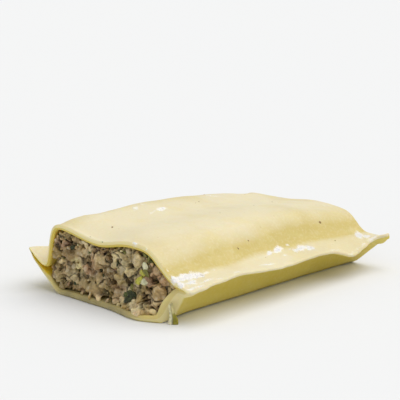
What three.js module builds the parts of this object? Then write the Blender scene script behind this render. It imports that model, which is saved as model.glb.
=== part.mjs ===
// One filled cannelloni of fresh egg pasta: a lower and an upper pasta sheet
// pressed together in a wavy seam along each long side, a meat filling that
// runs through from one cut end to the other, and a small strip of leek that
// stands at one corner. Millimetres, +Z up, +X along the tube.
//
// Each sheet is a closed shell. Its outer line at a station along the tube is a
// clamped uniform cubic B-spline whose control polygon comes from the named
// sizes below, and its inner line is the same polygon moved inward by the
// thickness of the sheet.

import * as THREE from 'three';

// ---------------------------------------------------------------- driving sizes
const LENGTH = 100;            // from cut end to cut end
const SHEET = 1.6;             // one pasta sheet
const SEAM_SHEET = 0.85;       // one sheet where it is pressed in the seam
const SEAM_HALF_GAP = 0.15;    // half of the gap between the sheets in the seam
const FILL_GAP = 0.4;          // gap between the filling and the pasta
const CROWN = 21.9;            // height of the flat top at the near end
const LEFT_SHOULDER = 23.9;    // height of the shoulder on the +Y side
const RIGHT_SHOULDER = 21.6;   // height of the shoulder on the -Y side
const SEAM_HEIGHT = 11.0;      // height of the seams above the base
const RIGHT_EDGE = -34.6;      // outer edge of the -Y seam
const LEFT_EDGE = 36.6;        // outer edge of the +Y seam
const RIGHT_ROOT = -26.2;      // where the -Y seam meets the body
const LEFT_ROOT = 28.4;        // where the +Y seam meets the body
const BASE_RIGHT = -23.4;      // -Y edge of the flat underside
const BASE_LEFT = 25.2;        // +Y edge of the flat underside
const LIP = 4.6;               // how far the lower sheet runs out at the near cut
const FAR_LIP = 2.2;           // the same at the far cut
const FILL_RECESS = 1.3;       // filling behind the cut
const FILL_ROUGH = 0.9;        // unevenness of the filling's end faces
const STRIP_WIDTH = 3.2;       // leek strip
const STRIP_THICK = 1.2;
const STRIP_HEIGHT = 6.7;

const STATIONS = 28;           // along the tube
const RINGS = 5;               // over the filling's end faces

// the middle of the bounding box, taken off so that it stands over the origin
const CENTRE_X = -1.489;
const CENTRE_Y = 0.085;

// ---------------------------------------------------------------- helpers
const bump = (u, c, w) => Math.exp(-(((u - c) / w) ** 2));
const smooth = (a, b, u) => {
  const t = Math.min(1, Math.max(0, (u - a) / (b - a)));
  return t * t * (3 - 2 * t);
};

// clamped uniform cubic B-spline, t from 0 to n - 3
function splinePoint(ctrl, t) {
  const k = 3;
  const n = ctrl.length;
  const last = n - k;
  const knot = (i) => Math.min(last, Math.max(0, i - k));
  const span = Math.min(last - 1, Math.floor(Math.min(t, last - 1e-9)));
  const d = [];
  for (let j = 0; j <= k; j++) d.push([...ctrl[span + j]]);
  for (let r = 1; r <= k; r++) {
    for (let j = k; j >= r; j--) {
      const i = span + j;
      const a = (t - knot(i)) / (knot(i + 1 + k - r) - knot(i));
      d[j] = [d[j - 1][0] * (1 - a) + d[j][0] * a, d[j - 1][1] * (1 - a) + d[j][1] * a];
    }
  }
  return d[k];
}

// ---------------------------------------------------------------- the seams
// Outer edge and root of each seam at station u (0 near end, 1 far end), as
// [y, z] of the middle of the pressed sheets.
function seam(u) {
  return {
    rightEdge: [
      RIGHT_EDGE - 1.6 * bump(u, 0.80, 0.10) - 4.2 * smooth(0.93, 1, u) + 1.2 * bump(u, 0, 0.05) + 0.5 * bump(u, 0.24, 0.1),
      SEAM_HEIGHT + 0.2 - 3.3 * bump(u, 0.82, 0.085) + 0.8 * bump(u, 0.22, 0.12) - 0.5 * bump(u, 0.50, 0.10)
        + 1.3 * smooth(0.93, 1, u) - 0.7 * bump(u, 0, 0.06),
    ],
    rightRoot: [
      RIGHT_ROOT + 1.0 * bump(u, 0.5, 0.3) - 1.2 * bump(u, 0, 0.12) - 1.6 * smooth(0.75, 1, u),
      SEAM_HEIGHT + 0.9 + 0.5 * bump(u, 0.45, 0.3) - 1.0 * smooth(0.8, 1, u),
    ],
    leftEdge: [
      LEFT_EDGE + 2.4 * bump(u, 0, 0.10) + 1.0 * bump(u, 0.45, 0.12) - 0.8 * bump(u, 0.7, 0.1),
      SEAM_HEIGHT + 1.8 * bump(u, 0, 0.10) - 1.4 * bump(u, 0.30, 0.12) + 0.8 * bump(u, 0.62, 0.1) - 0.6 * bump(u, 0.9, 0.08),
    ],
    leftRoot: [
      LEFT_ROOT + 1.3 * bump(u, 0, 0.15) - 0.6 * bump(u, 0.5, 0.2),
      SEAM_HEIGHT - 0.4 - 3.2 * bump(u, 0, 0.18),
    ],
  };
}

function seamControls(u) {
  const s = seam(u);
  const curl = smooth(0.93, 1, u);           // the far corner turns up
  const mix = (e, r, a, b, dz) => [e[0] + a * (r[0] - e[0]), e[1] + b * (r[1] - e[1]) + dz];
  return {
    s,
    right: [s.rightEdge, mix(s.rightEdge, s.rightRoot, 0.30, 0.30, -1.3 * curl), mix(s.rightEdge, s.rightRoot, 0.62, 0.62, 0.1 - 0.7 * curl)],
    left: [mix(s.leftEdge, s.leftRoot, 0.62, 0.64, -0.2), mix(s.leftEdge, s.leftRoot, 0.30, 0.32, 0), s.leftEdge],
  };
}

// ---------------------------------------------------------------- the sheets
const RAISE = SEAM_SHEET + SEAM_HALF_GAP;

function topOuter(u) {
  const { s, right, left } = seamControls(u);
  const [ry, rz] = s.rightRoot;
  const [ly, lz] = s.leftRoot;
  const crown = CROWN + 1.7 * smooth(0, 0.12, u) - 0.2 * bump(u, 0.5, 0.3) - 3.8 * smooth(0.55, 1, u);
  const ls = LEFT_SHOULDER - 0.5 + 0.9 * smooth(0, 0.08, u) + 0.5 * bump(u, 0.11, 0.06) + 0.7 * bump(u, 0.37, 0.10)
    + 1.0 * bump(u, 0.83, 0.12) - 5.2 * smooth(0.52, 1, u);
  const rs = RIGHT_SHOULDER + 1.3 * smooth(0, 0.2, u) - 4.2 * smooth(0.6, 1, u);
  const rsy = -18.3 - 2.7 * smooth(0.55, 1, u) - 0.6 * smooth(0, 0.3, u);
  const dip = 1 - smooth(0, 0.14, u);        // the top sags a little at the near cut
  return [
    ...right.map(([y, z]) => [y, z + RAISE]),
    [ry - 0.3, rz + RAISE - 0.3],
    [0.52 * ry + 0.48 * rsy, 0.5 * rz + 0.5 * rs - 0.4],
    [rsy, rs - 0.2],
    [rsy + 5.5, rs + 0.9],
    [-4.5, crown + 0.9],
    [4.5, crown - 0.7 - 1.3 * dip],
    [13.5, 0.45 * crown + 0.55 * ls - 0.4 - 0.4 * dip],
    [21.5, ls + 0.1],
    [27.2 - 0.8 * smooth(0.5, 1, u), ls - 0.2],
    [ly - 0.9, 0.55 * ls + 0.45 * lz],
    [ly + 0.2, lz + 0.6],
    ...left.map(([y, z]) => [y, z + RAISE]),
  ];
}

// the near -Y corner, where both sheets are squeezed into one thick fold: how
// far the lower sheet reaches below its seam, and how thick its wall gets
const PINCH_SEAM = [0.3, 1.0, 1.7];
const PINCH_WALL = [2.6, 1.9, 1.3];
const pinchAt = (u) => 1 - smooth(0, 0.075, u);

// at the far end the -Y side leans out below the raised seam
const LEAN_OUT = [0, 1.2, 2.5];
const LEAN_DOWN = [0, 0.1, 0.5];
const TIP_DOWN = [0.9, 1.0, 0.4];          // and its seam is thick and blunt at the very tip
const tipAt = (u) => smooth(0.94, 1, u);

// at the near +Y corner the seam stands open
const OPEN_DOWN = [1.35, 0.75, 0.15];

function bottomOuter(u) {
  const { s, right, left } = seamControls(u);
  const [ry, rz] = s.rightRoot;
  const flare = 1 - smooth(0, 0.15, u);      // the near corner stands out
  const br = BASE_RIGHT - 1.3 * flare;
  const lean = smooth(0.84, 1, u);
  const tip = tipAt(u);
  const open = 1 - smooth(0, 0.085, u);
  const pinch = pinchAt(u);
  return [
    ...right.map(([y, z], i) => [y - LEAN_OUT[i] * lean, z - RAISE - LEAN_DOWN[i] * lean - TIP_DOWN[i] * tip - PINCH_SEAM[i] * pinch]),
    [ry - 1.6 - 0.8 * flare - 3.2 * lean, rz - RAISE - 1.0 - 1.6 * lean - 1.1 * pinch],
    [br - 1.6 - 0.9 * flare - 3.0 * lean, 5.2 - 1.6 * lean],
    [br - 0.6 * lean, 0],
    [br + 3.4, 0],
    [-12, 0],
    [-3, 0],
    [6, 0],
    [14.5, 0],
    [BASE_LEFT - 4.2, 0],
    [BASE_LEFT, 0],
    [BASE_LEFT + 3.4, 3.6],
    ...left.map(([y, z], i) => [y, z - RAISE - OPEN_DOWN[i] * open]),
  ];
}

// Moves a control polygon inward (side -1 for the upper sheet, +1 for the
// lower one): straight up or down in the seams, along the normal elsewhere.
function inward(ctrl, side, body, atSeam, pinch = 0, tip = 0) {
  const n = ctrl.length;
  return ctrl.map(([y, z], i) => {
    if (i < 3) return [y, z + side * atSeam + PINCH_SEAM[i] * pinch + TIP_DOWN[i] * tip];
    if (i > n - 4) return [y, z + side * atSeam];
    const depth = (i === 3 || i === n - 4 ? 0.22 * atSeam + 0.78 * body : body) + (i < 6 ? PINCH_WALL[i - 3] * pinch : 0);
    const [ay, az] = ctrl[i - 1];
    const [by, bz] = ctrl[i + 1];
    const len = Math.hypot(by - ay, bz - az);
    return [y - side * depth * (bz - az) / len, z + side * depth * (by - ay) / len];
  });
}

// x of a point: the lower sheet's cut ends run out in a lip
function nearLip(y) {
  const w = y > -16 ? 13.5 : 8.5;
  const lip = LIP * Math.exp(-(((y + 16) / w) ** 2)) + 1.0 * bump(y, 6, 14) + 0.3;
  return -lip * smooth(-26, -23.2, y) * (1 - smooth(24, 31, y)) + 0.9 * bump(y, -27.3, 2.2);
}
function farLip(y) {
  return (FAR_LIP * bump(y, 9, 13) + 0.6 * bump(y, -14, 8)) * smooth(-26, -22, y) * (1 - smooth(23, 29, y));
}
const topX = (u) => LENGTH * (u - 0.5);
const bottomX = (u, y) => topX(u) + nearLip(y) * (1 - smooth(0, 0.25, u)) + farLip(y) * smooth(0.78, 1, u);

// ---------------------------------------------------------------- mesh building
const place = ([x, y, z]) => [x - CENTRE_X, y - CENTRE_Y, z];

// A closed solid from rings of equal count along the tube and two end caps.
// The caps are given by functions that return extra points and triangles.
function solid(rings, capNear, capFar) {
  const n = rings[0].length;
  const points = rings.flat().map(place);
  const faces = [];
  for (let i = 0; i + 1 < rings.length; i++) {
    for (let j = 0; j < n; j++) {
      const a = i * n + j;
      const b = i * n + ((j + 1) % n);
      faces.push([a, b, b + n], [a, b + n, a + n]);
    }
  }
  capNear(points, faces, 0, n, true);
  capFar(points, faces, (rings.length - 1) * n, n, false);
  let volume = 0;
  for (const [a, b, c] of faces) {
    const [p, q, r] = [points[a], points[b], points[c]];
    volume += p[0] * (q[1] * r[2] - q[2] * r[1]) + p[1] * (q[2] * r[0] - q[0] * r[2]) + p[2] * (q[0] * r[1] - q[1] * r[0]);
  }
  if (volume < 0) faces.forEach((f) => f.reverse());
  const geometry = new THREE.BufferGeometry();
  geometry.setAttribute('position', new THREE.Float32BufferAttribute(points.flat(), 3));
  geometry.setIndex(faces.flat());
  geometry.computeVertexNormals();
  return geometry;
}

// a strip between the outer half and the inner half of a sheet's ring
function sheetCap(points, faces, first, n, near) {
  const half = n / 2;
  for (let j = 0; j + 1 < half; j++) {
    const a = first + j;
    const b = first + j + 1;
    const c = first + n - 1 - j;
    const d = first + n - 2 - j;
    if (near) faces.push([a, c, b], [b, c, d]);
    else faces.push([a, b, c], [b, d, c]);
  }
}

// rings that shrink towards the middle, pushed in and out along the tube
function roughCap(relief) {
  return (points, faces, first, n, near) => {
    const rim = [];
    for (let j = 0; j < n; j++) rim.push(points[first + j]);
    const mid = [0, 1, 2].map((k) => rim.reduce((sum, p) => sum + p[k], 0) / n);
    let previous = Array.from({ length: n }, (_, j) => first + j);
    for (let r = 1; r < RINGS; r++) {
      const f = 1 - r / RINGS;
      const current = [];
      for (let j = 0; j < n; j++) {
        const y = mid[1] + f * (rim[j][1] - mid[1]);
        const z = mid[2] + f * (rim[j][2] - mid[2]);
        const x = mid[0] + f * (rim[j][0] - mid[0]) + relief(y, z);
        current.push(points.push([x, y, z]) - 1);
      }
      for (let j = 0; j < n; j++) {
        const k = (j + 1) % n;
        const quad = [previous[j], previous[k], current[k], current[j]];
        if (near) faces.push([quad[0], quad[2], quad[1]], [quad[0], quad[3], quad[2]]);
        else faces.push([quad[0], quad[1], quad[2]], [quad[0], quad[2], quad[3]]);
      }
      previous = current;
    }
    const centre = points.push([mid[0] + relief(mid[1], mid[2]), mid[1], mid[2]]) - 1;
    for (let j = 0; j < n; j++) {
      const k = (j + 1) % n;
      faces.push(near ? [previous[j], centre, previous[k]] : [previous[j], previous[k], centre]);
    }
  };
}

// ---------------------------------------------------------------- stations
const steps = (...parts) => {
  const out = [parts[0][0]];
  for (const [from, to, count] of parts) {
    for (let i = 1; i <= count; i++) out.push(from + ((to - from) * i) / count);
  }
  return out;
};
const stations = steps([0, 0.016, 1], [0.016, 0.112, 4], [0.112, 0.80, STATIONS - 13], [0.80, 1, 7]);
const TOP_T = steps([0, 2, 5], [2, 6, 9], [6, 9, 5], [9, 12, 7], [12, 14, 5]);
const BOTTOM_T = steps([0, 2, 5], [2, 5.5, 8], [5.5, 10, 4], [10, 12, 5], [12, 14, 5]);

function sheet(outer, side, ts, x) {
  const rings = stations.map((u) => {
    const o = outer(u);
    const i = inward(o, side, SHEET, SEAM_SHEET, side > 0 ? pinchAt(u) : 0, side > 0 ? tipAt(u) : 0);
    const line = (c) => ts.map((t) => splinePoint(c, t));
    return [...line(o), ...line(i).reverse()].map(([y, z]) => [x(u, y), y, z]);
  });
  return solid(rings, sheetCap, sheetCap);
}

// ---------------------------------------------------------------- filling
// Between the inner lines of the sheets, FILL_GAP away from both.
const FILL_TOP_T = TOP_T.filter((t) => t > 1.9 && t < 12.5);
const FILL_BOTTOM_T = BOTTOM_T.filter((t) => t > 1.9 && t < 12.5);

function filling() {
  const fillStations = stations.map((u) => (FILL_RECESS + u * (LENGTH - 2 * FILL_RECESS)) / LENGTH);
  const rings = fillStations.map((u) => {
    const top = inward(topOuter(u), -1, SHEET + FILL_GAP, SEAM_SHEET + FILL_GAP);
    const bottom = inward(bottomOuter(u), 1, SHEET + FILL_GAP, SEAM_SHEET + FILL_GAP, pinchAt(u), tipAt(u));
    const spill = (y, z) => -2.6 * bump(y, -11, 8) * (1 - smooth(2, 9, z)) * (1 - smooth(0, 0.2, u));
    return [
      ...FILL_TOP_T.map((t) => splinePoint(top, t)),
      ...FILL_BOTTOM_T.map((t) => splinePoint(bottom, t)).reverse(),
    ].map(([y, z]) => [topX(u) + spill(y, z), y, z]);
  });
  const relief = (phase) => (y, z) =>
    FILL_ROUGH * (0.55 * Math.sin(0.42 * y + 0.20 * z + phase) + 0.45 * Math.cos(0.45 * z - 0.22 * y + 2 * phase));
  return solid(rings, roughCap(relief(0.3)), roughCap(relief(1.9)));
}

// ---------------------------------------------------------------- leek strip
// A flat ribbon that stands in front of the near right corner, leaning on nothing.
function leekStrip() {
  const across = [Math.cos(-0.845), Math.sin(-0.845)];
  const through = [-across[1], across[0]];
  const rings = [];
  const levels = 8;
  const around = 12;
  for (let i = 0; i < levels; i++) {
    const f = i / (levels - 1);
    const cx = -50.15 - 1.15 * smooth(0.1, 0.9, f);
    const cy = -27.15 - 0.25 * Math.sin(Math.PI * f);
    const half = 0.5 * STRIP_WIDTH * (1 - 0.50 * smooth(0, 0.75, f));
    const thick = 0.5 * STRIP_THICK * (1 - 0.15 * f);
    const turn = 0.25 * f;
    const ring = [];
    for (let j = 0; j < around; j++) {
      const a = (2 * Math.PI * j) / around;
      const p = half * Math.sign(Math.cos(a)) * Math.abs(Math.cos(a)) ** 0.7;
      const q = thick * Math.sign(Math.sin(a)) * Math.abs(Math.sin(a)) ** 0.7;
      const pr = p * Math.cos(turn) - q * Math.sin(turn);
      const qr = p * Math.sin(turn) + q * Math.cos(turn);
      ring.push([cx + pr * across[0] + qr * through[0], cy + pr * across[1] + qr * through[1],
        STRIP_HEIGHT * f + 0.35 * f * (pr / half)]);
    }
    rings.push(ring);
  }
  const flat = (points, faces, first, n, near) => {
    for (let j = 1; j + 1 < n; j++) {
      faces.push(near ? [first, first + j + 1, first + j] : [first, first + j, first + j + 1]);
    }
  };
  return solid(rings, flat, flat);
}

// ---------------------------------------------------------------- the object
const pasta = (color) => new THREE.MeshStandardMaterial({ color, roughness: 0.55, metalness: 0 });
const parts = [
  ['pasta_bottom', sheet(bottomOuter, 1, BOTTOM_T, bottomX), pasta(0xd9c47c)],
  ['pasta_top', sheet(topOuter, -1, TOP_T, topX), pasta(0xecdda6)],
  ['filling', filling(), new THREE.MeshStandardMaterial({ color: 0x9a8068, roughness: 0.8, metalness: 0 })],
  ['leek_strip', leekStrip(), new THREE.MeshStandardMaterial({ color: 0xa8a66a, roughness: 0.5, metalness: 0 })],
];

const cannelloni = new THREE.Group();
for (const [name, geometry, material] of parts) {
  const mesh = new THREE.Mesh(geometry, material);
  mesh.name = name;
  cannelloni.add(mesh);
}

export default cannelloni;
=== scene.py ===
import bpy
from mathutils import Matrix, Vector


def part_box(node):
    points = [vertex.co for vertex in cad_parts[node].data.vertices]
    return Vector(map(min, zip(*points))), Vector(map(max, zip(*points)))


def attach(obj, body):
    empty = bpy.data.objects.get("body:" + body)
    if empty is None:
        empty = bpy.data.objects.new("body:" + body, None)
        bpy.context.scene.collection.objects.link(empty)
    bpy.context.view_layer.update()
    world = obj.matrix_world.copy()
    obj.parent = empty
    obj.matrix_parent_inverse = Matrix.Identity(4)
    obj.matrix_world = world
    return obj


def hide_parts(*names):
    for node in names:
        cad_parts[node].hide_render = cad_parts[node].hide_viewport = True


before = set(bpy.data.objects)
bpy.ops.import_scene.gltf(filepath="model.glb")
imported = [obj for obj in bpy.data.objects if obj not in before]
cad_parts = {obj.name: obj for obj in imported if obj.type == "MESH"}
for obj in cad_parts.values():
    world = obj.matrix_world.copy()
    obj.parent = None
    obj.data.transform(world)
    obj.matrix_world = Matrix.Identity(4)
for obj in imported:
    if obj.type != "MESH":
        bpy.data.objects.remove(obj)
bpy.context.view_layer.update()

import math

import bmesh
import bpy
import numpy as np
from mathutils import Matrix, Vector
from mathutils.kdtree import KDTree

# ---------------------------------------------------------------------------
# Cannelloni of fresh egg pasta. Shapes are worked out in millimetres in the
# body frame (x along the tube from -50 to 50, y across, z up) and moved into
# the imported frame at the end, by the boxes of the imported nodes.
# ---------------------------------------------------------------------------

LENGTH = 100.0
SHEET = 1.6
SEAM_SHEET = 0.85
SEAM_HALF_GAP = 0.15
CROWN = 21.9
LEFT_SHOULDER = 23.9
RIGHT_SHOULDER = 21.6
SEAM_HEIGHT = 11.0
RIGHT_EDGE = -34.6
LEFT_EDGE = 36.6
RIGHT_ROOT = -26.2
LEFT_ROOT = 28.4
BASE_RIGHT = -23.4
BASE_LEFT = 25.2
LIP = 4.6
FAR_LIP = 2.2
EDGE_ROUND = 0.75          # how far the rounding of the cut edges reaches in

top_lo, top_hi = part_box("pasta_top")
SHIFT = np.array([
    0.5 * (top_lo[0] + top_hi[0]) * 1000.0,
    top_hi[1] * 1000.0 - (LEFT_EDGE + 2.4),
    0.0,
])


def to_frame(p):
    """body frame in mm -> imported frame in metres"""
    return (np.asarray(p, float) + SHIFT) / 1000.0


# ------------------------------------------------------------------- noise
def _hash(ix, iy, iz, seed):
    h = (ix * 374761393 + iy * 668265263 + iz * 1440670441 + seed * 1274126177) & 0xFFFFFFFF
    h = ((h ^ (h >> 13)) * 1274126177) & 0xFFFFFFFF
    h = (h ^ (h >> 16)) & 0xFFFFFFFF
    return h / 4294967295.0 * 2.0 - 1.0


def vnoise(p, seed=0):
    """smooth value noise in -1..1 at points p (..., 3)"""
    p = np.asarray(p, float)
    i = np.floor(p).astype(np.int64)
    f = p - i
    f = f * f * f * (f * (f * 6 - 15) + 10)
    out = 0.0
    for dx in (0, 1):
        wx = f[..., 0] if dx else 1 - f[..., 0]
        for dy in (0, 1):
            wy = f[..., 1] if dy else 1 - f[..., 1]
            for dz in (0, 1):
                wz = f[..., 2] if dz else 1 - f[..., 2]
                out = out + wx * wy * wz * _hash(i[..., 0] + dx, i[..., 1] + dy, i[..., 2] + dz, seed)
    return out


def fbm(p, octaves=3, seed=0, gain=0.5):
    out, amp, tot = 0.0, 1.0, 0.0
    p = np.asarray(p, float)
    for o in range(octaves):
        out = out + amp * vnoise(p * (2.03 ** o) + 17.3 * o, seed + o)
        tot += amp
        amp *= gain
    return out / tot


def noise1(x, seed=0, octaves=2):
    x = np.asarray(x, float)
    z = np.zeros_like(x)
    return fbm(np.stack([x, z + 3.7, z + 9.1], -1), octaves, seed)


def bump(u, c, w):
    return np.exp(-((u - c) / w) ** 2)


def smooth(a, b, t):
    t = np.clip((np.asarray(t, float) - a) / (b - a), 0, 1)
    return t * t * (3 - 2 * t)


# ------------------------------------------------------------------- sections
def spline_basis(m, t):
    """clamped uniform cubic B-spline basis, t from 0 to m - 3"""
    k = 3
    knots = np.concatenate([np.zeros(k), np.arange(m - k + 1), np.full(k, m - k)]).astype(float)
    t = np.minimum(np.clip(np.asarray(t, float), 0, m - k), m - k - 1e-9)
    b = np.zeros((len(t), len(knots) - 1))
    for i in range(len(knots) - 1):
        b[:, i] = (knots[i] <= t) & (t < knots[i + 1])
    for d in range(1, k + 1):
        n = np.zeros_like(b)
        for i in range(len(knots) - 1 - d):
            lo = knots[i + d] - knots[i]
            hi = knots[i + d + 1] - knots[i + 1]
            if lo > 0:
                n[:, i] += (t - knots[i]) / lo * b[:, i]
            if hi > 0:
                n[:, i] += (knots[i + d + 1] - t) / hi * b[:, i + 1]
        b = n
    return b[:, :m]


def stack(points, u):
    z = np.zeros_like(u)
    return np.stack([np.stack([a + z, b + z], -1) for a, b in points], -2)


def seam(u):
    er = (RIGHT_EDGE - 1.6 * bump(u, 0.80, 0.10) - 4.2 * smooth(0.93, 1, u) + 1.2 * bump(u, 0, 0.05) + 0.5 * bump(u, 0.24, 0.1),
          SEAM_HEIGHT + 0.2 - 3.3 * bump(u, 0.82, 0.085) + 0.8 * bump(u, 0.22, 0.12) - 0.5 * bump(u, 0.50, 0.10)
          + 1.3 * smooth(0.93, 1, u) - 0.7 * bump(u, 0, 0.06))
    rr = (RIGHT_ROOT + 1.0 * bump(u, 0.5, 0.3) - 1.2 * bump(u, 0, 0.12) - 1.6 * smooth(0.75, 1, u),
          SEAM_HEIGHT + 0.9 + 0.5 * bump(u, 0.45, 0.3) - 1.0 * smooth(0.8, 1, u))
    el = (LEFT_EDGE + 2.4 * bump(u, 0, 0.10) + 1.0 * bump(u, 0.45, 0.12) - 0.8 * bump(u, 0.7, 0.1),
          SEAM_HEIGHT + 1.8 * bump(u, 0, 0.10) - 1.4 * bump(u, 0.30, 0.12) + 0.8 * bump(u, 0.62, 0.1) - 0.6 * bump(u, 0.9, 0.08))
    rl = (LEFT_ROOT + 1.3 * bump(u, 0, 0.15) - 0.6 * bump(u, 0.5, 0.2),
          SEAM_HEIGHT - 0.4 - 3.2 * bump(u, 0, 0.18))
    return er, rr, el, rl


def seam_controls(u):
    er, rr, el, rl = seam(u)
    curl = smooth(0.93, 1, u)

    def mix(e, r, a, b, dz):
        return (e[0] + a * (r[0] - e[0]), e[1] + b * (r[1] - e[1]) + dz)

    right = [er, mix(er, rr, 0.30, 0.30, -1.3 * curl), mix(er, rr, 0.62, 0.62, 0.1 - 0.7 * curl)]
    left = [mix(el, rl, 0.62, 0.64, -0.2), mix(el, rl, 0.30, 0.32, 0), el]
    return rr, rl, right, left


RAISE = SEAM_SHEET + SEAM_HALF_GAP
SEAM_UP = (0.66, 0.84, 1.00)       # the pressed seam thins out to its edge
SEAM_DOWN = (0.62, 0.90, 1.10)


def top_outer(u):
    rr, rl, right, left = seam_controls(u)
    crown = CROWN + 1.7 * smooth(0, 0.12, u) - 0.2 * bump(u, 0.5, 0.3) - 3.8 * smooth(0.55, 1, u)
    ls = (LEFT_SHOULDER - 0.5 + 0.9 * smooth(0, 0.08, u) + 0.5 * bump(u, 0.11, 0.06) + 0.7 * bump(u, 0.37, 0.10)
          + 1.0 * bump(u, 0.83, 0.12) - 5.2 * smooth(0.52, 1, u))
    rs = RIGHT_SHOULDER + 1.3 * smooth(0, 0.2, u) - 4.2 * smooth(0.6, 1, u)
    rsy = -18.3 - 2.7 * smooth(0.55, 1, u) - 0.6 * smooth(0, 0.3, u)
    near = 1 - smooth(0, 0.14, u)
    pts = [(y, z + h) for (y, z), h in zip(right, SEAM_UP)]
    pts += [(rr[0] - 0.3, rr[1] + RAISE - 0.3), (0.52 * rr[0] + 0.48 * rsy, 0.5 * rr[1] + 0.5 * rs - 0.4),
            (rsy, rs - 0.2), (rsy + 5.5, rs + 0.9), (-4.5, crown + 0.9), (4.5, crown - 0.7 - 1.3 * near),
            (13.5, 0.45 * crown + 0.55 * ls - 0.4 - 0.4 * near), (21.5, ls + 0.1), (27.2 - 0.8 * smooth(0.5, 1, u), ls - 0.2),
            (rl[0] - 0.9, 0.55 * ls + 0.45 * rl[1]), (rl[0] + 0.2, rl[1] + 0.6)]
    pts += [(y, z + h) for (y, z), h in zip(left, SEAM_UP[::-1])]
    return stack(pts, u)


PINCH_SEAM = (0.3, 1.0, 1.7)
PINCH_WALL = (2.6, 1.9, 1.3)
TIP_DOWN = (0.9, 1.0, 0.4)


def pinch_at(u):
    """the near right corner, where both sheets are squeezed into one thick fold"""
    return 1 - smooth(0.0, 0.075, u)


def bottom_outer(u):
    rr, rl, right, left = seam_controls(u)
    flare = 1 - smooth(0, 0.15, u)
    br = BASE_RIGHT - 1.3 * flare
    # at the far end the side leans out below the raised seam
    lean = smooth(0.84, 1, u)
    tip = smooth(0.94, 1, u)
    # at the near left corner the seam is open
    drop = 1 - smooth(0, 0.085, u)
    pinch = pinch_at(u)
    pts = [(y - a * lean, z - h - b * lean - c * pinch - d * tip)
           for (y, z), h, a, b, c, d in zip(right, SEAM_DOWN, (0.0, 1.2, 2.5), (0.0, 0.1, 0.5), PINCH_SEAM, TIP_DOWN)]
    pts += [(rr[0] - 1.6 - 0.8 * flare - 3.2 * lean, rr[1] - RAISE - 1.0 - 1.6 * lean - 1.1 * pinch),
            (br - 1.6 - 0.9 * flare - 3.0 * lean, 5.2 - 1.6 * lean), (br - 0.6 * lean, 0), (br + 3.4, 0),
            (-12, 0), (-3, 0), (6, 0), (14.5, 0), (BASE_LEFT - 4.2, 0), (BASE_LEFT, 0), (BASE_LEFT + 3.4, 3.6)]
    pts += [(y, z - h - c * drop) for (y, z), h, c in zip(left, SEAM_DOWN[::-1], (1.35, 0.75, 0.15))]
    return stack(pts, u)


def inward(ctrl, side, body, seam_right, seam_left, pinch=None):
    out = np.array(ctrl, float)
    m = out.shape[-2]
    for i in range(m):
        seam_t = seam_right if i < m // 2 else seam_left
        if i < 3 or i > m - 4:
            out[..., i, 1] += side * (seam_t + 0.12 * min(i, m - 1 - i))
            if pinch is not None and side > 0 and i < 3:
                out[..., i, 1] += PINCH_SEAM[i] * pinch
            continue
        depth = 0.22 * seam_t + 0.78 * body if i in (3, m - 4) else body + 0 * seam_t
        if pinch is not None and side > 0 and i in (3, 4, 5):
            depth = depth + PINCH_WALL[i - 3] * pinch
        d = ctrl[..., i + 1, :] - ctrl[..., i - 1, :]
        ln = np.hypot(d[..., 0], d[..., 1])
        out[..., i, 0] -= side * depth * d[..., 1] / ln
        out[..., i, 1] += side * depth * d[..., 0] / ln
    return out


def near_lip(y):
    w = np.where(y > -16, 13.5, 8.5)
    lip = LIP * np.exp(-((y + 16) / w) ** 2) + 1.0 * bump(y, 6, 14) + 0.3
    return -lip * smooth(-26, -23.2, y) * (1 - smooth(24, 31, y)) + 0.9 * bump(y, -27.3, 2.2)


def far_lip(y):
    return (FAR_LIP * bump(y, 9, 13) + 0.6 * bump(y, -14, 8)) * smooth(-26, -22, y) * (1 - smooth(23, 29, y))


def top_x(u, y):
    return LENGTH * (u - 0.5) + 0 * y


def bottom_x(u, y):
    return top_x(u, y) + near_lip(y) * (1 - smooth(0, 0.25, u)) + far_lip(y) * smooth(0.78, 1, u)


# ------------------------------------------------------------------- mesh helpers
def grid_normals(p):
    """unit normals of a grid of points (a, b, 3)"""
    du = np.gradient(p, axis=0)
    dv = np.gradient(p, axis=1)
    n = np.cross(du, dv)
    return n / np.maximum(np.linalg.norm(n, axis=-1, keepdims=True), 1e-12)


def make_mesh(name, verts_mm, faces, masks=None, colors=None, rewind=False):
    verts_mm = np.array(verts_mm, float)
    verts_mm[:, 2] = np.maximum(verts_mm[:, 2], 0.0)      # nothing reaches below the underside
    verts = to_frame(verts_mm)
    me = bpy.data.meshes.new(name)
    me.from_pydata(verts.tolist(), [], [tuple(int(i) for i in f) for f in faces])
    me.validate()
    if rewind:
        bm = bmesh.new()
        bm.from_mesh(me)
        bmesh.ops.recalc_face_normals(bm, faces=bm.faces)
        bm.to_mesh(me)
        bm.free()
    me.polygons.foreach_set("use_smooth", [True] * len(me.polygons))
    for key, data in (masks or {}).items():
        a = me.attributes.new(key, "FLOAT", "POINT")
        a.data.foreach_set("value", np.asarray(data, np.float32))
    if colors is not None:
        # per-vertex colour; for the mince it also holds painted shade and painted highlights
        a = me.attributes.new("colour_and_shade", "FLOAT_COLOR", "POINT")
        rgba = np.ones((len(verts), 4), np.float32)
        rgba[:, :3] = colors
        a.data.foreach_set("color", rgba.ravel())
    me.update()
    ob = bpy.data.objects.new(name, me)
    bpy.context.scene.collection.objects.link(ob)
    return ob


def outward(verts, faces):
    """flips all faces when the closed mesh is inside out"""
    v = np.asarray(verts, float)
    vol = 0.0
    for f in faces:
        a = v[f[0]]
        for i in range(1, len(f) - 1):
            vol += float(np.dot(a, np.cross(v[f[i]], v[f[i + 1]])))
    return [tuple(reversed(f)) for f in faces] if vol < 0 else faces


# ------------------------------------------------------------------- pasta sheets
NU = 230
NT = 150
ARC = 5


def edge_wave(x):
    """unevenness of a seam's cut edge, in mm"""
    return 0.38 * noise1(x / 7.5, 41, 2) + 0.20 * noise1(x / 2.6, 43, 2)


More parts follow.
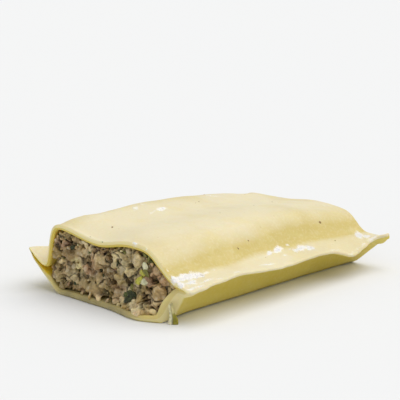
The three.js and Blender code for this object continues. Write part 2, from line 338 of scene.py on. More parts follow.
def seam_wave(x, side):
    """up and down of the pressed seam, in mm"""
    return 0.44 * noise1(x / 8.0, 51 + side, 2) + 0.10 * noise1(x / 3.1, 55 + side, 1)


def pasta_sheet(outer_fn, side, x_fn, seed, near_body):
    r = EDGE_ROUND
    turn = np.radians([80.0, 64.0, 48.0, 32.0, 16.0])
    dist = np.concatenate([r * (1 - np.sin(turn)), np.linspace(r, LENGTH - r, NU), LENGTH - r * (1 - np.sin(turn[::-1]))])
    keep = np.concatenate([np.cos(turn), np.ones(NU), np.cos(turn[::-1])])
    u = dist / LENGTH

    ctrl = outer_fn(u)
    xs = LENGTH * (u - 0.5)
    m = ctrl.shape[-2]
    # uneven seams: the same for both sheets, so that they stay pressed together
    lively = 1 + 0.9 * smooth(0.62, 0.95, u)
    for i, w in ((0, 1.0), (1, 0.8), (2, 0.35)):
        ctrl[:, i, 0] -= edge_wave(xs) * w * lively
        ctrl[:, i, 1] += seam_wave(xs, 0) * w * lively
        ctrl[:, m - 1 - i, 0] += edge_wave(xs + 217.0) * w
        ctrl[:, m - 1 - i, 1] += seam_wave(xs + 91.0, 3) * w
    # rounded corners of the seams, and the lower sheet's edge drawn in a little
    d_end = np.minimum(dist, LENGTH - dist)
    corner = 1.3 * (1 - np.sqrt(1 - (1 - np.minimum(d_end / 1.7, 1)) ** 2))
    draw = corner + (0.42 if side > 0 else 0.0)
    ctrl[:, 0, 0] += draw * (1 - 0.65 * smooth(0.9, 1, u))
    ctrl[:, m - 1, 0] -= draw
    seam_r = (1.06 if side < 0 else 0.90) + 0 * u
    seam_l = seam_r - 0.10 * (1 - smooth(0, 0.085, u))
    seam_r = seam_r + (0.95 if side > 0 else 0.25) * smooth(0.94, 1, u)      # a thick, blunt tip
    body = SHEET + near_body * (1 - smooth(0.0, 0.05, u)) + 0.15 * smooth(0.95, 1, u)
    inner_ctrl = inward(ctrl, side, body, seam_r, seam_l, pinch_at(u))

    t = np.linspace(0, m - 3, NT)
    basis = spline_basis(m, t)
    o2 = np.einsum("sm,umk->usk", basis, ctrl)
    i2 = np.einsum("sm,umk->usk", basis, inner_ctrl)

    def lift(p2):
        y = p2[..., 0]
        x = x_fn(u[:, None], y)
        endw = (1 - smooth(0, 0.03, u)) + smooth(0.97, 1, u)
        q = p2[..., 0] + 1.7 * p2[..., 1]
        ragged = 0.26 * noise1(q / 7.0 + seed, 61 + seed, 2) + 0.08 * noise1(q / 2.1, 62 + seed, 1)
        x = x + endw[:, None] * ragged
        return np.stack([x, p2[..., 0], p2[..., 1]], -1)

    outer = lift(o2)
    inner = lift(i2)
    # gentle relief on the outer face
    n = grid_normals(outer)
    mid_row = outer.shape[0] // 2
    if np.mean(n[mid_row, NT // 3: 2 * NT // 3, 2]) * -side < 0:
        n = -n
    relief = 0.24 * fbm(outer / 17.0 + seed, 2, 71 + seed) + 0.08 * fbm(outer / 6.0, 2, 73 + seed) + 0.030 * fbm(outer / 2.2, 2, 75 + seed)
    # press marks across the seams
    tt = t[None, :]
    seam_w = (1 - smooth(0.9, 2.0, tt)) + smooth(m - 3 - 2.0, m - 3 - 0.9, tt)
    marks = 0.09 * noise1(outer[..., 0] / 3.2 + 0.35 * outer[..., 1] / 3.2, 81 + seed, 2)
    relief = relief * (1 - 0.75 * seam_w) + marks * seam_w
    fade = smooth(0, 0.02, u) * (1 - smooth(0.98, 1, u))
    relief = relief * (0.35 + 0.65 * fade[:, None])
    # the cut presses the dough a little wider
    relief = relief + (0.32 * (1 - smooth(0, 0.028, u)) + 0.2 * smooth(0.975, 1, u))[:, None] * (1 - 0.7 * seam_w)
    outer = outer + n * relief[..., None]
    if side > 0:
        outer[..., 2] = np.maximum(outer[..., 2], 0.0)

    mid = 0.5 * (outer + inner)
    half = np.maximum(0.5 * np.linalg.norm(outer - inner, axis=-1), 0.05)
    k = keep[:, None, None]
    O = mid + (outer - mid) * k
    I = mid + (inner - mid) * k

    def arc(j, out_dir):
        """rounded edge between the outer and the inner line at column j"""
        c = mid[:, j]
        rad = outer[:, j] - c
        rows = []
        for a in np.linspace(0, math.pi, ARC + 2)[1:-1]:
            p = c + rad * math.cos(a)
            p[:, 1] += out_dir * half[:, j] * 0.9 * math.sin(a)
            rows.append(c + (p - c) * keep[:, None])
        return rows

    left_arc = arc(NT - 1, 1.0)
    right_arc = arc(0, -1.0)
    ring = np.concatenate([O, np.stack(left_arc, 1), I[:, ::-1], np.stack(right_arc[::-1], 1)], axis=1)
    ns, nr = ring.shape[:2]
    verts = ring.reshape(-1, 3)
    a = (np.arange(ns - 1) * nr)[:, None]
    j = np.arange(nr)[None, :]
    j2 = (j + 1) % nr
    faces = [tuple(f) for f in np.stack([a + j, a + j2, a + nr + j2, a + nr + j], -1).reshape(-1, 4).tolist()]
    # cut faces: quads across from the outer line to the inner line
    for first, flip in ((0, True), ((ns - 1) * nr, False)):
        def oi(q):
            return first + q

        def ii(q):
            return first + 2 * NT + ARC - 1 - q
        for q in range(NT - 1):
            f = (oi(q), oi(q + 1), ii(q + 1), ii(q))
            faces.append(tuple(reversed(f)) if not flip else f)
        la = [oi(NT - 1)] + [first + NT + q for q in range(ARC)] + [ii(NT - 1)]
        ra = [ii(0)] + [first + 2 * NT + ARC + q for q in range(ARC)] + [oi(0)]
        faces.append(tuple(la) if flip else tuple(reversed(la)))
        faces.append(tuple(ra) if flip else tuple(reversed(ra)))
    faces = outward(verts, faces)

    # masks
    tcol = np.concatenate([t, np.full(ARC, m - 3.0), t[::-1], np.zeros(ARC)])
    around = np.concatenate([np.zeros(NT), np.linspace(0.05, 0.26, ARC), np.ones(NT), np.linspace(0.26, 0.05, ARC)])
    tip = np.sqrt(np.maximum(1 - keep ** 2, 0))[:, None]
    inner_mask = around[None, :] * (1 - 0.62 * tip) + (1 - around[None, :]) * 0.30 * tip ** 2
    seam_col = (1 - smooth(1.2, 2.3, tcol)) + smooth(m - 3 - 2.3, m - 3 - 1.2, tcol)
    return verts, faces, {
        "inner": inner_mask.ravel(),
        "across": np.broadcast_to(around, (ns, nr)).ravel(),
        "seam": np.broadcast_to(seam_col, (ns, nr)).ravel(),
        "cut": np.broadcast_to(tip, (ns, nr)).ravel(),
        # bands along the seam roots, where the colour is painted darker and more saturated: painted shade in the
        # creases
        "crease_shade": np.broadcast_to(
            1.30 * np.exp(-((tcol - 2.55) / 0.72) ** 2) + 0.34 * np.exp(-((tcol - 4.0) / 1.0) ** 2)
            + np.exp(-((m - 3 - tcol - 3.0) / 1.1) ** 2) + 0.35 * np.exp(-((m - 3 - tcol - 4.4) / 0.8) ** 2), (ns, nr)).ravel(),
    }


# flour: x, y, half length, half width, turn (deg), strength
FLOUR_TOP = [
    (-48.2, -26.7, 2.2, 1.0, 5, 1.00), (-45.5, -26.6, 2.6, 1.1, 8, 1.00), (-42.5, -26.8, 3.0, 1.3, 7, 1.00),
    (-39.0, -27.7, 2.6, 1.5, 11, 0.95), (-48.6, -29.1, 2.2, 1.5, 50, 0.90), (-44.5, -29.8, 2.6, 1.5, 12, 0.85),
    (-35.2, -27.5, 2.4, 1.1, 8, 0.62), (-48.2, -32.6, 2.0, 0.7, 1, 0.75), (-31.0, -27.0, 2.8, 0.8, 3, 0.40),
    (-40.5, -32.3, 3.8, 0.8, -4, 0.55), (-49.0, -23.7, 0.7, 0.4, 5, 0.60), (-10.5, -32.4, 5.5, 0.8, 0, 0.58),
    (-45.0, -33.2, 3.0, 0.7, -10, 0.55), (-36.5, -33.6, 3.4, 0.8, -4, 0.46), (-26.8, -33.4, 4.8, 0.9, 1, 0.46),
    (3.0, -26.0, 3.0, 1.1, 8, 0.95), (-2.2, -26.4, 2.8, 0.8, 8, 0.72), (1.5, -29.3, 1.9, 1.0, 29, 0.55),
    (9.0, -25.5, 1.0, 0.5, 19, 0.62), (7.5, -27.5, 1.1, 0.5, 30, 0.52), (11.5, -28.6, 3.1, 1.7, 15, 1.00),
    (14.8, -29.8, 2.3, 1.4, 41, 1.00), (9.0, -28.7, 1.9, 1.0, 30, 0.80), (43.8, -29.7, 3.1, 1.5, 43, 1.00),
    (44.6, -32.4, 1.6, 1.0, 77, 0.80), (44.6, -35.1, 2.6, 0.9, -12, 0.68), (48.6, -35.8, 2.2, 1.9, 34, 0.72),
    (39.0, -35.3, 2.4, 0.6, 12, 0.62), (32.0, -35.6, 4.8, 0.6, 10, 0.58), (23.0, -34.4, 5.5, 0.6, 8, 0.48),
    (-11.5, 13.9, 2.5, 1.3, 13, 1.00), (-16.8, 13.2, 3.4, 0.6, 22, 0.62), (-18.0, 19.6, 3.4, 0.9, 34, 0.60),
    (-12.8, 21.6, 2.6, 1.0, 22, 0.45), (-19.5, 23.4, 2.3, 0.8, 47, 0.34), (2.8, -0.3, 3.0, 1.4, 29, 0.40),
    (38.2, 8.0, 4.2, 2.2, 46, 0.34), (38.0, 3.3, 5.0, 1.4, 39, 0.40), (46.0, -12.9, 2.8, 1.1, 60, 0.42),
    (-49.4, -10.6, 1.3, 0.8, 55, 0.75), (-49.8, -15.9, 0.8, 0.5, 38, 0.60),
    # the side away from the cut view
    (-30.0, 31.8, 6.0, 1.6, 3, 0.70), (-14.0, 33.0, 6.0, 1.2, -4, 0.55), (8.0, 31.5, 4.6, 1.5, 10, 1.00),
    (14.5, 30.0, 3.0, 1.3, -20, 0.85), (33.0, 32.5, 8.0, 1.0, 0, 0.50), (44.0, 31.0, 3.0, 1.5, 15, 0.90),
    (22.0, 20.0, 3.0, 0.9, -50, 0.58), (-38.0, 33.5, 4.0, 0.9, 6, 0.60), (-24.0, 29.5, 2.2, 1.0, 35, 0.80),
]


def flour_field(x, y, patches):
    out = np.zeros_like(x)
    q3 = np.stack([x, y, 0 * x], -1)
    x = x + 0.9 * fbm(q3 / 2.4, 3, 701)
    y = y + 0.75 * fbm(q3 / 2.0 + 31.0, 3, 703)
    for cx, cy, a, b, turn, s in patches:
        c, sn = math.cos(math.radians(turn)), math.sin(math.radians(turn))
        dx, dy = x - cx, y - cy
        p = (dx * c + dy * sn) / a
        q = (-dx * sn + dy * c) / b
        out = np.maximum(out, s * np.exp(-(p * p + q * q) * 0.85))
    return out


v_top, f_top, m_top = pasta_sheet(top_outer, -1, top_x, 1, 0.18)
v_bot, f_bot, m_bot = pasta_sheet(bottom_outer, 1, bottom_x, 4, 0.45)

m_top["flour"] = flour_field(v_top[:, 0], v_top[:, 1], FLOUR_TOP) * np.clip(1.15 - m_top["inner"] * 1.3, 0, 1)
dust = 0.30 * np.clip(m_top["seam"], 0, 1) * (0.55 + 0.45 * noise1(v_top[:, 0] / 9.0, 95, 2))
m_top["flour"] = np.maximum(m_top["flour"], dust * np.clip(1.15 - m_top["inner"] * 1.3, 0, 1))
m_bot["flour"] = 0.18 * np.clip(m_bot["seam"], 0, 1) * np.clip(1 - m_bot["inner"], 0, 1) * (0.5 + 0.5 * noise1(v_bot[:, 0] / 8.0, 97, 2))

# the lower sheet is painted darker at the near end, where the filling lies on it (painted shade), and pale where it
# is pinched
m_bot["lip_shade"] = (1 - smooth(-50.5, -46.5, v_bot[:, 0])) * smooth(-19.0, -9.0, v_bot[:, 1]) * (1 - smooth(21.0, 27.0, v_bot[:, 1]))
m_bot["pale"] = (1 - smooth(-48.6, -45.8, v_bot[:, 0])) * (1 - smooth(-24.6, -22.4, v_bot[:, 1])) * (1 - 0.5 * np.clip(m_bot["inner"], 0, 1))
m_top["lip_shade"] = 0 * v_top[:, 0]
m_top["pale"] = 0 * v_top[:, 0]

pasta_top = make_mesh("pasta_top_sheet", v_top, f_top, m_top, rewind=True)
pasta_bottom = make_mesh("pasta_bottom_sheet", v_bot, f_bot, m_bot, rewind=True)


# ------------------------------------------------------------------- materials
def new_mat(name):
    mat = bpy.data.materials.new(name)
    mat.use_nodes = True
    nt = mat.node_tree
    for nd in list(nt.nodes):
        nt.nodes.remove(nd)
    out = nt.nodes.new("ShaderNodeOutputMaterial")
    bsdf = nt.nodes.new("ShaderNodeBsdfPrincipled")
    nt.links.new(bsdf.outputs[0], out.inputs[0])
    return mat, nt, bsdf


class Kit:
    """short hands for building a node tree"""

    def __init__(self, nt):
        self.nt = nt
        self.coord = nt.nodes.new("ShaderNodeTexCoord").outputs["Object"]

    def link(self, a, b):
        self.nt.links.new(a, b)

    def noise(self, scale, detail=3.0, rough=0.55, distortion=0.0, vec=None):
        n = self.nt.nodes.new("ShaderNodeTexNoise")
        n.inputs["Scale"].default_value = scale
        n.inputs["Detail"].default_value = detail
        n.inputs["Roughness"].default_value = rough
        n.inputs["Distortion"].default_value = distortion
        self.link(vec or self.coord, n.inputs["Vector"])
        return n.outputs["Fac"]

    def voronoi(self, scale, feature="F1", out="Distance", randomness=1.0, vec=None):
        n = self.nt.nodes.new("ShaderNodeTexVoronoi")
        n.feature = feature
        n.inputs["Scale"].default_value = scale
        n.inputs["Randomness"].default_value = randomness
        self.link(vec or self.coord, n.inputs["Vector"])
        return n.outputs[out]

    def stretch(self, sx, sy, sz, turn=0.0):
        n = self.nt.nodes.new("ShaderNodeMapping")
        n.inputs["Scale"].default_value = (sx, sy, sz)
        n.inputs["Rotation"].default_value = (0, 0, turn)
        self.link(self.coord, n.inputs["Vector"])
        return n.outputs[0]

    def attr(self, name, out="Fac"):
        n = self.nt.nodes.new("ShaderNodeAttribute")
        n.attribute_type = "GEOMETRY"
        n.attribute_name = name
        return n.outputs[out]

    def remap(self, src, a, b, lo=0.0, hi=1.0, mode="SMOOTHSTEP"):
        n = self.nt.nodes.new("ShaderNodeMapRange")
        n.interpolation_type = mode
        n.inputs["From Min"].default_value = a
        n.inputs["From Max"].default_value = b
        n.inputs["To Min"].default_value = lo
        n.inputs["To Max"].default_value = hi
        self.link(src, n.inputs["Value"])
        return n.outputs[0]

    def math(self, op, a, b=None, clamp=False):
        n = self.nt.nodes.new("ShaderNodeMath")
        n.operation = op
        n.use_clamp = clamp
        for i, v in enumerate((a, b)):
            if v is None:
                continue
            if isinstance(v, (int, float)):
                n.inputs[i].default_value = v
            else:
                self.link(v, n.inputs[i])
        return n.outputs[0]

    def mix(self, fac, a, b, blend="MIX"):
        n = self.nt.nodes.new("ShaderNodeMix")
        n.data_type = "RGBA"
        n.blend_type = blend
        if isinstance(fac, (int, float)):
            n.inputs[0].default_value = fac
        else:
            self.link(fac, n.inputs[0])
        for sock, v in ((n.inputs[6], a), (n.inputs[7], b)):
            if isinstance(v, tuple):
                sock.default_value = (*v, 1.0)
            else:
                self.link(v, sock)
        return n.outputs[2]

    def bump(self, height, strength, distance, normal=None):
        n = self.nt.nodes.new("ShaderNodeBump")
        n.inputs["Strength"].default_value = strength
        n.inputs["Distance"].default_value = distance
        self.link(height, n.inputs["Height"])
        if normal is not None:
            self.link(normal, n.inputs["Normal"])
        return n.outputs[0]


def pasta_material(name, crown, crease_shade, deep, inner, fold, rim, rim_in, flour_gain, dust):
    mat, nt, b = new_mat(name)
    k = Kit(nt)
    broad = k.noise(34, 3, 0.5)
    fine = k.noise(1050, 3, 0.6)
    # the colour runs from the pale crown to a darker, more saturated yellow in bands along the seam roots: painted
    # shade in the creases; the pale crown is partly flour dust and partly a painted sheen
    w = k.math("ADD", k.attr("crease_shade"), k.remap(broad, 0.34, 0.68, -0.28, 0.28), clamp=True)
    col = k.mix(w, crown, crease_shade)
    col = k.mix(k.remap(k.noise(85, 3, 0.55), 0.50, 0.74, 0, 0.42), col, deep)
    # faint rolling streaks and the grain of the dough
    streak = k.noise(1.0, 3, 0.6, vec=k.stretch(70, 620, 620, 0.35))
    col = k.mix(k.remap(streak, 0.45, 0.75, 0, 0.10), col, deep)
    col = k.mix(k.remap(fine, 0.44, 0.72, 0, dust), col, (0.86, 0.81, 0.66))
    specks = k.voronoi(310)
    col = k.mix(k.remap(specks, 0.050, 0.12, 0.32, 0.0), col, (0.50, 0.34, 0.11))
    # inside faces get a saturated yellow, partly the dough's own unfloured colour and partly painted light for light
    # bounced inside the tube; the seam gaps get a brighter yellow still, painted light in their shade
    inner_m = k.remap(k.attr("inner"), 0.30, 0.62)
    inside = k.mix(k.remap(k.attr("seam"), 0.2, 0.8), inner, fold)
    inside = k.mix(k.remap(broad, 0.35, 0.7, 0, 0.3), inside, deep)
    col = k.mix(inner_m, col, inside)
    col = k.mix(k.math("MULTIPLY", k.attr("pale"), 0.9), col, rim)
    # the cut edges get a brightened rim colour, painted light on faces that turn away from the lamp, going deeper
    # yellow toward the inner side
    edge = k.mix(k.remap(k.math("ADD", k.attr("across"), k.remap(broad, 0.3, 0.7, -0.12, 0.12)), 0.42, 1.0), rim, rim_in)
    rim_m = k.remap(k.attr("cut"), 0.3, 1.0, 0, 0.9)
    col = k.mix(rim_m, col, edge)
    # painted shade: the lower sheet's near lip is darkened toward olive
    col = k.mix(k.math("MULTIPLY", k.attr("lip_shade"), k.remap(k.noise(240, 3, 0.6), 0.3, 0.7, 0.62, 0.92)), col, (0.31, 0.255, 0.110))
    # flour: a field of patches broken up by noise
    field = k.attr("flour")
    grain = k.math("ADD", k.math("MULTIPLY", k.noise(1500, 5, 0.8), 1.7), k.math("MULTIPLY", k.noise(330, 3, 0.6), 0.95))
    level = k.math("SUBTRACT", k.math("MULTIPLY", field, 2.05), grain)
    flour = k.remap(level, -0.85, 0.20, 0.0, flour_gain)
    flour = k.math("MULTIPLY", flour, k.remap(field, 0.04, 0.28))
    col = k.mix(flour, col, (0.915, 0.885, 0.840))
    k.link(col, b.inputs["Base Color"])
    rough = k.math("ADD", k.remap(k.noise(160, 3, 0.6), 0.3, 0.7, 0.46, 0.62), k.math("MULTIPLY", flour, 0.36), clamp=True)
    rough = k.math("SUBTRACT", rough, k.math("MULTIPLY", inner_m, 0.14))
    k.link(rough, b.inputs["Roughness"])
    b.inputs["Subsurface Weight"].default_value = 0.16
    b.inputs["Subsurface Radius"].default_value = (1.0, 0.62, 0.16)
    b.inputs["Subsurface Scale"].default_value = 0.0020
    b.inputs["Specular IOR Level"].default_value = 0.36
    b.inputs["Sheen Weight"].default_value = 0.04
    h1 = k.math("ADD", k.math("MULTIPLY", k.noise(640, 4, 0.6), 0.6), k.math("MULTIPLY", k.noise(190, 3, 0.5), 1.1))
    nrm = k.bump(h1, 0.32, 0.00020)
    h2 = k.math("MULTIPLY", k.noise(1700, 3, 0.7), flour)
    nrm = k.bump(k.math("ADD", h2, k.math("MULTIPLY", flour, 0.5)), 0.22, 0.00014, nrm)
    k.link(nrm, b.inputs["Normal"])
    return mat


mat_top = pasta_material(
    "fresh_pasta_upper", crown=(0.752, 0.662, 0.430), crease_shade=(0.600, 0.475, 0.150), deep=(0.735, 0.615, 0.285),
    inner=(0.79, 0.60, 0.055), fold=(0.93, 0.70, 0.035), rim=(0.87, 0.76, 0.37), rim_in=(0.71, 0.55, 0.090), flour_gain=0.95, dust=0.15)
# the lower sheet is the same dough; its darker, more saturated colours are partly less flour and partly painted shade
# and bounce light for the wall under the seam
mat_bottom = pasta_material(
    "fresh_pasta_lower", crown=(0.675, 0.555, 0.120), crease_shade=(0.650, 0.515, 0.080), deep=(0.620, 0.480, 0.056),
    inner=(0.66, 0.54, 0.20), fold=(0.93, 0.70, 0.035), rim=(0.78, 0.68, 0.34), rim_in=(0.68, 0.56, 0.21), flour_gain=0.8, dust=0.08)


def meat_material(name, rough=(0.40, 0.64), sss=0.10):
    mat, nt, b = new_mat(name)
    k = Kit(nt)
    colour_and_shade = k.attr("colour_and_shade", "Color")
    n1 = k.noise(560, 4, 0.62, 0.4)
    n2 = k.noise(1500, 3, 0.6)
    col = k.mix(k.remap(n1, 0.52, 0.74, 0.0, 0.36), colour_and_shade, (0.22, 0.135, 0.060))
    col = k.mix(k.remap(n2, 0.50, 0.70, 0, 0.24), col, (0.74, 0.64, 0.44))
    col = k.mix(k.remap(k.noise(950, 3, 0.6, 0.8), 0.61, 0.74, 0, 0.34), col, (0.12, 0.065, 0.025))
    k.link(col, b.inputs["Base Color"])
    k.link(k.remap(k.noise(420, 3, 0.6), 0.35, 0.65, rough[0], rough[1]), b.inputs["Roughness"])
    b.inputs["Subsurface Weight"].default_value = sss
    b.inputs["Subsurface Radius"].default_value = (1.0, 0.50, 0.26)
    b.inputs["Subsurface Scale"].default_value = 0.0008
    b.inputs["Specular IOR Level"].default_value = 0.45
    fibre = k.noise(1.0, 3, 0.6, 1.2, vec=k.stretch(900, 2200, 900, 0.6))
    h = k.math("ADD", k.math("MULTIPLY", k.noise(1200, 4, 0.65), 0.8), k.math("MULTIPLY", fibre, 0.5))
    k.link(k.bump(h, 0.48, 0.00026), b.inputs["Normal"])
    return mat


def herb_material(name):
    mat, nt, b = new_mat(name)
    k = Kit(nt)
    colour_and_shade = k.attr("colour_and_shade", "Color")
    col = k.mix(k.remap(k.noise(700, 3, 0.6), 0.4, 0.7, 0, 0.5), colour_and_shade, (0.06, 0.07, 0.015))
    vein = k.noise(1.0, 2, 0.5, 0.6, vec=k.stretch(1800, 260, 1800, 0.3))
    col = k.mix(k.remap(vein, 0.5, 0.7, 0, 0.16), col, (0.52, 0.52, 0.22))
    k.link(col, b.inputs["Base Color"])
    k.link(k.remap(k.noise(500, 2, 0.5), 0.3, 0.7, 0.38, 0.58), b.inputs["Roughness"])
    b.inputs["Subsurface Weight"].default_value = 0.15
    b.inputs["Subsurface Radius"].default_value = (0.6, 1.0, 0.2)
    b.inputs["Subsurface Scale"].default_value = 0.0008
    b.inputs["Specular IOR Level"].default_value = 0.3
    k.link(k.bump(k.noise(1500, 3, 0.6), 0.5, 0.00018), b.inputs["Normal"])
    return mat


def flour_material(name):
    mat, nt, b = new_mat(name)
    k = Kit(nt)
    k.link(k.mix(k.remap(k.noise(900, 3, 0.6), 0.3, 0.7), (0.88, 0.86, 0.825), (0.93, 0.915, 0.885)), b.inputs["Base Color"])
    k.link(k.remap(k.noise(1500, 2, 0.5), 0.3, 0.7, 0.85, 1.0), b.inputs["Roughness"])
    b.inputs["Specular IOR Level"].default_value = 0.2
    k.link(k.bump(k.noise(4000, 3, 0.6), 0.5, 0.00008), b.inputs["Normal"])
    return mat


def bran_material(name):
    mat, nt, b = new_mat(name)
    k = Kit(nt)
    k.link(k.mix(k.remap(k.noise(2500, 3, 0.6), 0.35, 0.65), (0.33, 0.20, 0.06), (0.20, 0.11, 0.03)), b.inputs["Base Color"])
    k.link(k.remap(k.noise(1500, 2, 0.5), 0.3, 0.7, 0.5, 0.75), b.inputs["Roughness"])
    k.link(k.bump(k.noise(4000, 3, 0.6), 0.4, 0.00005), b.inputs["Normal"])
    return mat


mat_meat = meat_material("cooked_mince")
mat_core = meat_material("mince_core", (0.5, 0.75), 0.05)
mat_herb = herb_material("cooked_greens")
mat_flour = flour_material("flour_dust")
mat_bran = bran_material("bran_flakes")

pasta_top.data.materials.append(mat_top)
pasta_bottom.data.materials.append(mat_bottom)


# ------------------------------------------------------------------- filling
rng = np.random.default_rng(20417)


def icosphere(sub):
    bm = bmesh.new()
    bmesh.ops.create_icosphere(bm, subdivisions=sub, radius=1.0)
    v = np.array([x.co[:] for x in bm.verts])
    f = np.array([[x.index for x in q.verts] for q in bm.faces])
    bm.free()
    return v, f


ICO = {s: icosphere(s) for s in (1, 2, 3, 4)}


def random_rotation(r):
    q = r.normal(size=4)
    q /= np.linalg.norm(q)
    w, x, y, z = q
    return np.array([
        [1 - 2 * (y * y + z * z), 2 * (x * y - z * w), 2 * (x * z + y * w)],
        [2 * (x * y + z * w), 1 - 2 * (x * x + z * z), 2 * (y * z - x * w)],
        [2 * (x * z - y * w), 2 * (y * z + x * w), 1 - 2 * (x * x + y * y)]])


def section_profile(u):
    """inner lines of the two sheets at station u, as z over y"""
    uu = np.array([u])
    b = spline_basis(17, np.linspace(0, 14, 400))
    t = (b @ inward(top_outer(uu), -1, SHEET, SEAM_SHEET + 0.1 + 0 * uu, SEAM_SHEET + 0.1 + 0 * uu)[0])
    o = (b @ inward(bottom_outer(uu), 1, SHEET + 0.3, SEAM_SHEET + 0.1 + 0 * uu, SEAM_SHEET + 0.1 + 0 * uu, pinch_at(uu))[0])
    return t, o


class Section:
    """tests how far a point is from the pasta's inner faces at one end"""

    def __init__(self, u):
        t, o = section_profile(u)
        self.line = np.concatenate([t, o[::-1]])
        self.poly = self.line[::4]

    def distance(self, y, z):
        return float(np.min(np.hypot(self.line[:, 0] - y, self.line[:, 1] - z)))

    def inside(self, y, z):
        p = self.poly
        x1, y1 = p[:, 0], p[:, 1]
        x2, y2 = np.roll(x1, -1), np.roll(y1, -1)
        c = (y1 > z) != (y2 > z)
        with np.errstate(divide="ignore", invalid="ignore"):
            xi = (x2 - x1) * (z - y1) / (y2 - y1) + x1
        return int(np.sum(c & (y < xi))) % 2 == 1


NEAR_SEC = Section(0.012)
FAR_SEC = Section(0.985)

# hollows between the lumps at the near end, as y, z, radius
NEAR_HOLES = [(0.0, 15.3, 0.85), (-8.1, 14.7, 1.15), (4.6, 11.3, 0.8), (-18.6, 11.6, 1.2), (-22.3, 3.9, 1.5), (-16.2, 4.5, 1.1),
              (-8.7, 20.3, 0.7), (4.0, 4.2, 1.4), (0.5, 4.0, 1.1), (-0.8, 8.3, 0.6), (10.6, 6.4, 0.7), (9.0, 14.0, 1.2), (-15.8, 9.0, 0.6),
              (2.2, 17.6, 0.6), (12.5, 17.8, 0.8), (22.0, 5.5, 1.0), (-11.4, 8.3, 0.55)]
FAR_HOLES = [(-4.0, 12.0, 1.5), (12.0, 9.0, 1.4), (-16.0, 7.0, 1.5), (20.0, 12.0, 1.5), (4.0, 5.0, 1.2), (-10.0, 13.5, 1.1)]

MEAT_TINTS = [
    ((0.392, 0.292, 0.130), 0.34),   # beige
    ((0.600, 0.495, 0.275), 0.22),   # pale, fatty
    ((0.365, 0.238, 0.138), 0.17),   # pinkish brown
    ((0.215, 0.137, 0.054), 0.13),   # brown
    ((0.325, 0.237, 0.083), 0.14),   # tan
]


def pick_tint(r, table):
    w = np.array([t[1] for t in table])
    c = np.array(table[r.choice(len(table), p=w / w.sum())][0])
    return np.clip(c * (1 + 0.10 * r.normal()) * (1 + 0.03 * r.normal(size=3)), 0.01, 0.95)


def lump(r, centre, rad, sub, rough=0.30, squash=(0.70, 1.0), stretch=(1.0, 1.4)):
    v, f = ICO[sub]
    scale = np.array([r.uniform(*stretch), r.uniform(*squash), r.uniform(*squash)])
    off = r.uniform(-50, 50, 3)
    d = 1 + rough * (1.1 * vnoise(v * 1.2 + off, 7) + 0.7 * vnoise(v * 2.6 + off * 1.3, 9))
    p = v * scale * d[:, None] * rad
    p = p @ random_rotation(r).T
    return p + np.asarray(centre), f


class Heap:
    """collects many small closed meshes into one piece"""

    def __init__(self):
        self.v, self.f, self.c, self.n = [], [], [], 0

    def add(self, verts, faces, color):
        self.v.append(verts)
        self.f.append(np.asarray(faces) + self.n)
        c = np.broadcast_to(np.asarray(color, float), (len(verts), 3))
        self.c.append(c)
        self.n += len(verts)

    def tris(self):
        return sum(len(f) for f in self.f)

    def build(self, name, mat):
        ob = make_mesh(name, np.concatenate(self.v), np.concatenate(self.f), colors=np.concatenate(self.c))
        ob.data.materials.append(mat)
        return ob


def face_plane(y, z, end):
    """where the front of the meat lies along the tube, measured inwards from the cut"""
    if end < 0:
        return (0.35 - 1.7 * math.exp(-((y + 11) / 8.0) ** 2 - ((z - 2.0) / 4.0) ** 2) - 0.5 * math.exp(-((y - 8) / 11.0) ** 2 - ((z - 8) / 5.0) ** 2)
                + 0.7 * math.exp(-((y - 27) / 2.0) ** 2) * (1.0 if z > 9 else 0.0) - 0.9 * math.exp(-((y - 24) / 4.0) ** 2 - ((z - 5.5) / 3.5) ** 2)
                + 1.0 * math.exp(-((y + 25.0) / 2.4) ** 2))
    return 0.45 - 0.7 * math.exp(-((y - 6) / 12.0) ** 2 - ((z - 7) / 5.0) ** 2) + 0.6 * math.exp(-((y + 25.5) / 2.4) ** 2) + 0.6 * math.exp(-((y - 26) / 2.4) ** 2)


def lay_lumps(section, end, seed, holes):
    """lumps behind one cut face: centre, radius, clump number"""
    r = np.random.default_rng(seed)
    clumps = []
    for _ in range(2600):
        c = np.array([r.uniform(-1.5, 5.0), r.uniform(-28, 30), r.uniform(1, 23)])
        if section.inside(c[1], c[2]) and all(np.linalg.norm(c - q) > 3.9 for q in clumps):
            clumps.append(c)
    clumps = np.array(clumps)
    placed, arr = [], np.zeros((0, 4))
    plan = [(2.2, 2.8, 320, 0.60), (1.6, 2.15, 1200, 0.60), (1.1, 1.55, 2600, 0.62), (0.72, 1.05, 3000, 0.66), (0.45, 0.66, 1900, 0.74)]
    for lo, hi, tries, pack in plan:
        for _ in range(tries):
            rad = r.uniform(lo, hi)
            y, z = r.uniform(-28, 30), r.uniform(1.0, 23)
            if not section.inside(y, z):
                continue
            edge = section.distance(y, z)
            deep = r.uniform(rad * 0.72, 5.5 if lo > 0.9 else 3.6)
            if edge < rad * (0.86 if deep < 3.5 else 0.60):
                continue
            if deep < 4.0 and any((y - hy) ** 2 + (z - hz) ** 2 < (hr + rad * 0.5) ** 2 for hy, hz, hr in holes):
                continue
            g = np.linalg.norm(clumps - np.array([deep, y, z]), axis=1)
            two = np.partition(g, 1)[:2]
            if two[1] - two[0] < 0.95 and deep < 2.8:
                continue
            depth = deep + face_plane(y, z, end)
            # every clump stands a little proud of its neighbours or behind them
            which = int(np.argmin(g))
            depth += 0.85 * math.sin(which * 2.399) if deep < 3.0 else 0.0
            x = -50 + depth if end < 0 else 50 - depth
            if len(placed) and np.any(np.sqrt(((arr[:, :3] - (x, y, z)) ** 2).sum(1)) < pack * (arr[:, 3] + rad)):
                continue
            placed.append((x, y, z, rad, which))
            arr = np.array([q[:4] for q in placed])
    return placed, clumps


